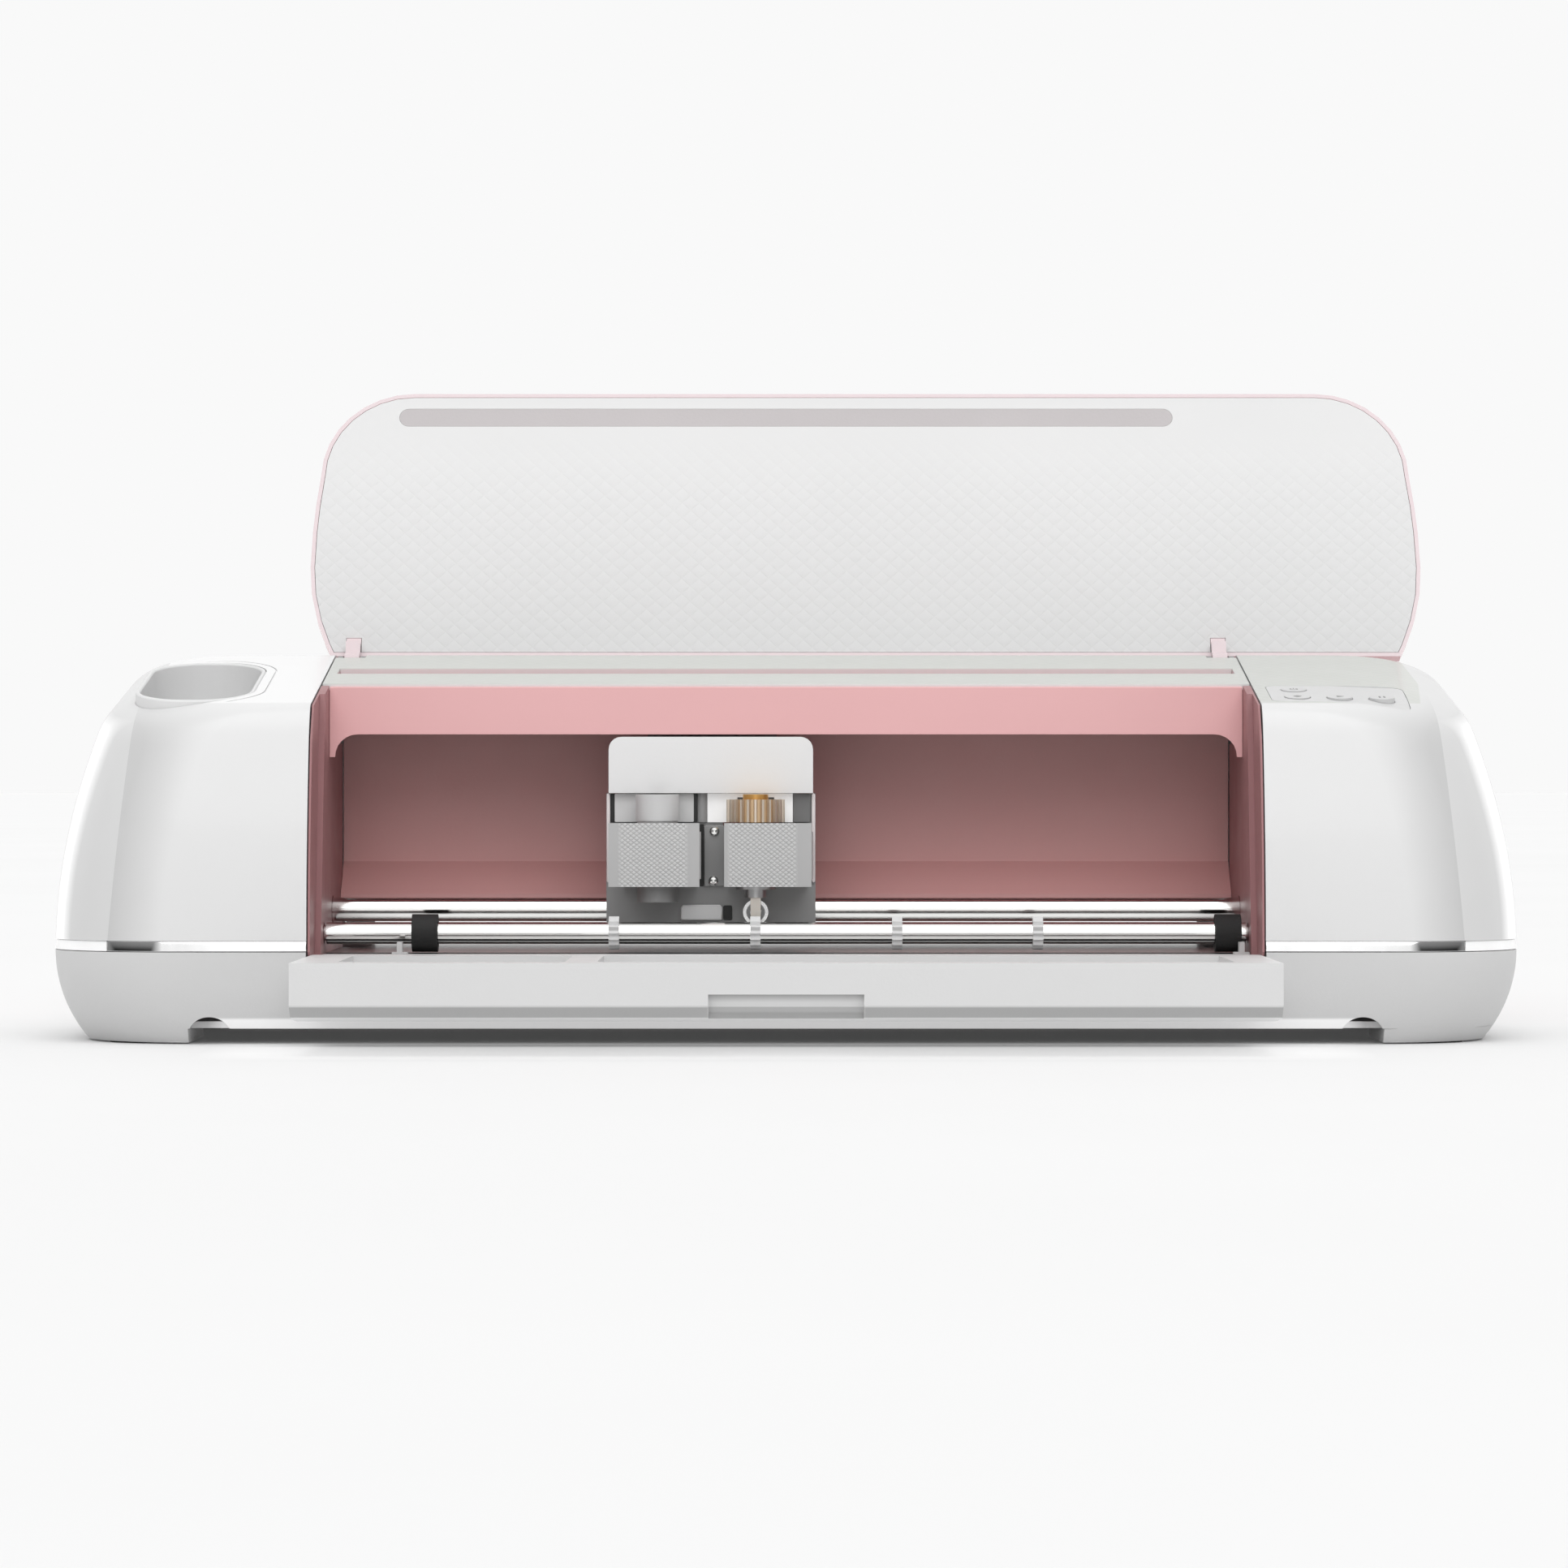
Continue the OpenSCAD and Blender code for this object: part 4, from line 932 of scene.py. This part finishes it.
def build_base():
    """Base tub with four feet, the door's well, the mat's way out and two front arches."""
    tub = solid(loft(base_rings(0.0, BELLY, SPLIT_Z - 0.15)))
    for side in (-1, 1):
        for y0, y1 in ((-90, -28), (34, 90)):
            cut(tub, foot_block(side, y0, y1), "UNION")
    cut(tub, loft(base_rings(WALL, BELLY + WALL, SPLIT_Z + 1)))
    cut(tub, box_bm((-HALF_OPEN - 0.7, -FAR, 13), (HALF_OPEN + 0.7, -62, SPLIT_Z + 2)))
    cut(tub, box_bm((-MAT_HALF, 70, 31.9), (MAT_HALF, FAR, SPLIT_Z + 1)))
    turns = [k * math.pi / 20 for k in range(40)]
    for side in (-1, 1):
        arch = [(side * 222.5 + 8.5 * math.cos(a), 3.2 + 7.5 * math.sin(a)) for a in turns]
        cut(tub, prism(arch, -120, -77, "Y"))
    finish_shell(tub, "base_tub_shell", BASE_GREY, "base_tub", bevel=0.5)


def build_cup():
    """Liner of the tool cup, cut off level with the deck."""
    liner = solid(cup_prism(0.0, 66, 170))
    cut(liner, cup_prism(-CUP_WALL, 68, 171))
    cut(liner, on_deck(box_bm((-60, -90, 0), (60, 90, 60)), CUP_X, CUP_Y))
    finish_shell(liner, "cup_liner_shell", CUP_GREY, "cup_liner", bevel=0.7)


def build_casing():
    """Every shell of the casing, with the strips and the cup."""
    shell = casing_shell()
    build_housings(shell)
    build_trims()
    build_rear(shell)
    build_bridge(shell)
    bpy.data.objects.remove(shell)
    build_base()
    build_cup()


# ---------------------------------------------------------------- carriage and feed details

# front of the carriage's frame plate
FACE_Y = -24.6


def own(name, bm, body, material, bevel=0.15):
    """A small piece drawn in the casing's own frame, in place on one body."""
    bmesh.ops.translate(bm, verts=bm.verts, vec=(0, BODY_Y, 0))
    return soften(make_object(name, bm, body, material), bevel)


def on_carriage(points):
    """Outline counted from the carriage's middle."""
    return [(CARRIAGE_X + x, z) for x, z in points]


def plate(name, points, thick, material, bevel=0.15, lift=0.0, body="carriage"):
    """A flat piece on the front of the carriage, or of a clamp that slides on it."""
    face = FACE_Y - lift
    return own(name, prism(on_carriage(points), face - thick, face, "Y"), body, material, bevel)


def rectangle(x0, x1, z0, z1, chamfer=0.5):
    """Outline of a rectangle with cut corners."""
    c = chamfer
    return [(x0 + c, z0), (x1 - c, z0), (x1, z0 + c), (x1, z1 - c),
            (x1 - c, z1), (x0 + c, z1), (x0, z1 - c), (x0, z0 + c)]


def post(name, x0, x1, z0, z1, material):
    """A half-round upright on the front of the carriage."""
    middle = CARRIAGE_X + (x0 + x1) / 2
    half = (x1 - x0) / 2
    turns = [k * math.pi / 16 for k in range(17)]
    arc = [(middle + half * math.cos(a), FACE_Y - 1.2 * math.sin(a)) for a in turns]
    return own(name, prism(arc, z0, z1, "Z"), "carriage", material, 0.1)


def turned(name, x, z, profile, lift, material):
    """A round head facing forwards, from radius and height pairs."""
    bm = bmesh.new()
    turns = [k * math.pi / 12 for k in range(24)]

    def point(r, h, a):
        return Vector((CARRIAGE_X + x + r * math.cos(a), FACE_Y - lift - h, z + r * math.sin(a))) * MM

    rows = [[bm.verts.new(point(r, h, a)) for a in turns] for r, h in profile]
    for low, high in zip(rows, rows[1:]):
        for i in range(len(turns)):
            k = (i + 1) % len(turns)
            bm.faces.new((low[i], low[k], high[k], high[i]))
    bm.faces.new(rows[0])
    bm.faces.new(rows[-1])
    return own(name, bm, "carriage", material, 0.05)


# the windows lie between the gates' tops and the cover, and the bar between the gates
WINDOW_LOW = 85.4
WINDOW_HIGH = COVER_FOOT - 0.1
WINDOW_END = 32.5
BAR_FOOT = 60
BAR_THICK = 1.6
SENSOR_FOOT = 46.6
SENSOR_HIGH = 6.1
TOOL_B = GEAR_AXIS.x / MM - CARRIAGE_X
SCREW_HEAD = ((1.9, 0), (1.9, 0.5), (1.3, 1.1), (0.5, 1.2), (0.4, 0.8))


def build_windows():
    """What shows between the cover and the gates."""
    # window_shadow is a black sheet, painted shade showing as a dark edge round the window's back
    plate("window_shadow", rectangle(-39.8, -5.4, WINDOW_LOW, WINDOW_HIGH, 0.3), 0.3, BLACK, 0.05)
    plate("window_a_back", rectangle(-38.2, -6.8, WINDOW_LOW + 0.1, WINDOW_HIGH - 0.1, 0.3), 0.5,
          WINDOW_GREY, 0.1, 0.35)
    post("window_post", -5.3, -1.6, WINDOW_LOW, WINDOW_HIGH, FRAME_GREY)
    slot = 7.3
    top = GEAR_TOP / MM - 1.2
    plate("window_b_back", [(-1.4, WINDOW_LOW), (TOOL_B - slot, WINDOW_LOW), (TOOL_B - slot, top),
                            (TOOL_B + slot, top), (TOOL_B + slot, WINDOW_LOW), (WINDOW_END, WINDOW_LOW),
                            (WINDOW_END, WINDOW_HIGH), (-1.4, WINDOW_HIGH)], 0.6, WINDOW_WHITE, 0.1)
    plate("window_end", rectangle(WINDOW_END + 0.2, 39.4, WINDOW_LOW, WINDOW_HIGH, 0.3), 1.0, DARK_GREY, 0.2)
    for side, name in ((-1, "flange_left"), (1, "flange_right")):
        plate(name, rectangle(*sorted((side * 41.4, side * 40.0)), 61.5, WINDOW_HIGH), 1.2, FLANGE_WHITE, 0.3)


def build_front_plate():
    """The bar between the gates, and the light sensor under them."""
    # centre_gap is a black sheet, painted shade in the gap beside the centre bar
    plate("centre_gap", rectangle(-4.6, -2.8, BAR_FOOT, 84.6, 0.2), 0.3, BLACK, 0.05)
    plate("centre_bar", rectangle(-2.7, 5.5, BAR_FOOT, 84.2), BAR_THICK, BAR_GREY, 0.3)
    for place, z in ((1.4, 81.9), (1.0, 62.2)):
        turned("bar_screw_%d" % z, place, z, SCREW_HEAD, BAR_THICK, POLISHED)
    shoulder_z = SENSOR_FOOT + SENSOR_HIGH - 1.1
    head_z = SENSOR_FOOT + SENSOR_HIGH
    block = [(-12, SENSOR_FOOT), (4.5, SENSOR_FOOT), (4.5, shoulder_z), (3.7, head_z), (-11.2, head_z),
             (-12, shoulder_z)]
    slot = rectangle(4.9, 8.4, SENSOR_FOOT, head_z - 0.3, 0.4)
    plate("sensor_block", block, 2.2, SENSOR_GREY, 0.5, body="clamp_a_slider")
    # the sensor's slot is a black sheet, painted shade standing in for the dark hole beside the sensor
    plate("sensor_slot", slot, 0.5, BLACK, 0.1, body="clamp_b_slider")


def ring_points(outer, inner, start, sweep, steps=20):
    """Outline of a part ring, in degrees from the right-hand side."""
    turns = [math.radians(start + sweep * k / steps) for k in range(steps + 1)]
    return ([(outer * math.cos(a), outer * math.sin(a)) for a in turns]
            + [(inner * math.cos(a), inner * math.sin(a)) for a in reversed(turns)])


def bar(x0, x1, y0, y1):
    """Outline of a plain rectangle."""
    return [(x0, y0), (x1, y0), (x1, y1), (x0, y1)]


ICONS = {
    "power_button": [ring_points(1.7, 1.3, 125, 290), bar(-0.22, 0.22, 0.3, 2.0)],
    "load_button": [[(-1.6, 0.3), (1.6, 0.3), (0.0, 1.9)], [(-1.6, -0.3), (0.0, -1.9), (1.6, -0.3)]],
    "go_button": [[(-1.2, -1.6), (1.7, 0.0), (-1.2, 1.6)]],
    "pause_button": [bar(-1.3, -0.5, -1.6, 1.6), bar(0.5, 1.3, -1.6, 1.6)],
}
BUTTON_THICK = 5.0


def joined(shapes):
    """Several closed shapes as one mesh."""
    bm = bmesh.new()
    for shape in shapes:
        mesh = bpy.data.meshes.new("shape")
        shape.to_mesh(mesh)
        shape.free()
        bm.from_mesh(mesh)
        bpy.data.meshes.remove(mesh)
    return bm


def build_icons():
    """Plain marks on the tops of the buttons, a hair proud of them."""
    tilt = Matrix.Rotation(DECK_TILT, 4, "X")
    for node, outlines in ICONS.items():
        top = middle_of(node) + tilt @ Vector((0, 0, BUTTON_THICK / 2 * MM))
        mark = joined([prism(outline, -0.6, 0.06, "Z") for outline in outlines])
        mark.transform(Matrix.Translation(top) @ tilt)
        make_object(node.replace("button", "icon"), mark, node.replace("button", "key"), ICON_GREY)


def build_details():
    """Small pieces that only the scene has."""
    build_windows()
    build_front_plate()
    build_icons()


# ---------------------------------------------------------------- CAD nodes kept, with their finishes

# each node's material and the rounding of its edges in millimetres
KEPT = {
    "bridge_fascia": (BEAM_ROSE, 0.4),
    "dock_liner": (DOCK_ROSE, 0),
    "back_wall": (WALL_ROSE, 0.5),
    "jambs": (JAMB_ROSE, 0.4),
    "keypad_panel": (KEY_WHITE, 0.15),
    "button_board": (BOARD_GREEN, 0),
    "side_plates": (STEEL, 0.1),
    "platen": (STEEL, 0.2),
    "front_bed": (TRAY_GREY, 0.3),
    "guide_rod": (POLISHED, 0),
    "support_rail": (STEEL, 0.2),
    "drive_belt": (RUBBER, 0),
    "carriage_motor": (MOTOR, 0.4),
    "feed_motor": (MOTOR, 0.4),
    "main_board": (BOARD_GREEN, 0),
    "power_inlet": (BLACK, 0.15),
    "usb_port": (STEEL, 0.15),
    "mat_guides": (STAR_WHITE, 0.15),
    "lid_brackets": (STEEL, 0.1),
    "door_pins": (STEEL, 0.15),
    "power_button": (BUTTON_GREY, 0.3),
    "load_button": (BUTTON_GREY, 0.3),
    "pause_button": (BUTTON_GREY, 0.3),
    "go_button": (BUTTON_GREY, 0.3),
    "foot_pads": (RUBBER, 0.3),
    "base_screws": (STEEL, 0.1),
    "lid_shell": (ROSE_GLOSS, 0.6),
    "lid_inner_panel": (LID_WHITE, 0.3),
    "lid_grip_strip": (GRIP_GREY, 0.3),
    "front_door": (DOOR_GREY, 0.5),
    "door_inner_panel": (TRAY_GREY, 0.4),
    "driven_roller": (ROLLER, 0.1),
    "feed_gear": (IVORY, 0.05),
    "feed_pinion": (BRONZE, 0.05),
    "star_shaft": (POLISHED, 0),
    "star_wheels": (STAR_WHITE, 0.15),
    "pinch_rollers": (RUBBER, 0.5),
    "drive_pulley": (STEEL, 0.1),
    "idler_pulley": (STEEL, 0.1),
    "carriage_frame": (FRAME_GREY, 0.4),
    "carriage_cover": (WHITE_SHELL, 0.8),
    "rod_bushings": (BRONZE, 0.1),
    "clamp_a": (CLAMP, 0.3),
    "gate_a": (GATE_A, 0.4),
    "accessory_adapter": (ADAPTER, 0.4),
    "clamp_b": (CLAMP, 0.3),
    "gate_b": (GATE_B, 0.4),
    "rotary_housing": (NOSE_GREY, 0.3),
    "tool_gear": (GOLD, 0.15),
    "tool_pinion": (STAR_WHITE, 0.05),
    "rotary_blade": (BLADE, 0),
}


def dress_kept():
    """Finishes for the CAD nodes that show as they are."""
    for node, (material, bevel) in KEPT.items():
        dress(node, material, bevel)


# ---------------------------------------------------------------- stage, light and camera


FLOOR_HALF = 60.0
FLOOR_GLOW = 0.028
# painted light: the floor glows under the open door to lift its shadow
DOOR_GLOW = 0.34


def floor_look():
    """Pale matt floor, with painted light under the open door that lifts the door's shadow."""
    look = Look("floor")
    look.set(Base_Color=look.mix(look.ramp(look.noise(1.5), 0.0, 1.0), opaque(srgb(233)), opaque(srgb(235))))
    painted_door_light = look.product(
        look.ramp(look.size(look.here["X"]), 1.0, 0.0, 0.17, 0.22),
        look.ramp(look.here["Y"], 0.0, 1.0, DOOR_FRONT - 0.02, DOOR_FRONT + 0.03),
        look.ramp(look.here["Y"], 1.0, 0.0, BASE_LOW.y - 0.016, BASE_LOW.y - 0.002))
    look.set(Emission_Color=WHITE, Emission_Strength=look.ramp(painted_door_light, FLOOR_GLOW, DOOR_GLOW, 0.0, 1.0))
    look.set(Roughness=0.9, Specular_IOR_Level=0.1)
    return look.material


def build_stage():
    """The floor."""
    bm = bmesh.new()
    for x, y in ((-1, -1), (1, -1), (1, 1), (-1, 1)):
        bm.verts.new((x * FLOOR_HALF, y * FLOOR_HALF, 0))
    bm.faces.new(bm.verts)
    floor = solid(bm)
    floor.name = "floor"
    floor.data.materials.append(floor_look())


KEY_PLACE = (0.05, -1.1, 1.25)
KEY_SPREAD = 65
KEY_POWER = 1.1


def sun(name, place, spread, power):
    """Even light from a wide patch of the studio ceiling."""
    data = bpy.data.lights.new(name, "SUN")
    data.energy = power
    data.angle = math.radians(spread)
    lamp = bpy.data.objects.new(name, data)
    bpy.context.scene.collection.objects.link(lamp)
    lamp.location = place
    lamp.rotation_euler = (-Vector(place)).to_track_quat("-Z", "Y").to_euler()


# brightness of the studio in each direction; only the backdrop is seen by the camera
BACKDROP = 0.948
SIDE_GLOW = 0.24
FLANK_GLOW = 0.02
TOP_GLOW = 1.0
BACK_GLOW = 0.95
FRONT_GLOW = 1.15


def build_world():
    """A studio that is bright overhead, behind and straight ahead, and dim to the sides."""
    world = bpy.data.worlds.new("studio")
    bpy.context.scene.world = world
    world.use_nodes = True
    nodes = Nodes(world.node_tree)
    way = nodes.add("ShaderNodeTexCoord").outputs["Generated"]
    ray = nodes.axes(way)
    top = nodes.ramp(ray["Z"], 0.0, TOP_GLOW, 0.15, 0.75)
    back = nodes.ramp(ray["Y"], 0.0, BACK_GLOW, -0.1, 0.4)
    across = nodes.size(ray["X"])
    ahead = nodes.product(nodes.ramp(ray["Y"], 1.0, 0.0, -0.5, -0.3),
                          nodes.ramp(ray["Z"], 1.0, 0.0, 0.38, 0.5))
    front = nodes.product(ahead, nodes.ramp(across, FRONT_GLOW, 0.0, 0.13, 0.3))
    flank = nodes.product(ahead, nodes.ramp(across, 1.0, 0.0, 0.8, 0.86))
    side = nodes.ramp(flank, SIDE_GLOW, FLANK_GLOW, 0.0, 1.0)
    glow = nodes.math("MAXIMUM", nodes.math("MAXIMUM", top, back), nodes.math("MAXIMUM", front, side))
    seen = nodes.add("ShaderNodeLightPath").outputs["Is Camera Ray"]
    background = world.node_tree.nodes["Background"]
    background.inputs["Color"].default_value = WHITE
    nodes.put(background.inputs["Strength"], nodes.part_way(seen, glow, BACKDROP))


def build_light():
    build_world()
    sun("key_high", KEY_PLACE, KEY_SPREAD, KEY_POWER)


CAMERA_AWAY = 2.0
CAMERA_HIGH = 0.1006
CAMERA_SIDE = -0.0008
CAMERA_LENS = 119.44


def build_camera():
    """Level camera straight ahead of the machine."""
    data = bpy.data.cameras.new("camera")
    data.lens = CAMERA_LENS
    camera = bpy.data.objects.new("camera", data)
    bpy.context.scene.collection.objects.link(camera)
    camera.location = (CAMERA_SIDE, BASE_LOW.y - CAMERA_AWAY, CAMERA_HIGH)
    camera.rotation_euler = (math.radians(90), 0, 0)
    bpy.context.scene.camera = camera


bpy.context.scene.view_settings.view_transform = "Standard"
build_casing()
build_details()
dress_kept()
build_stage()
build_light()
build_camera()
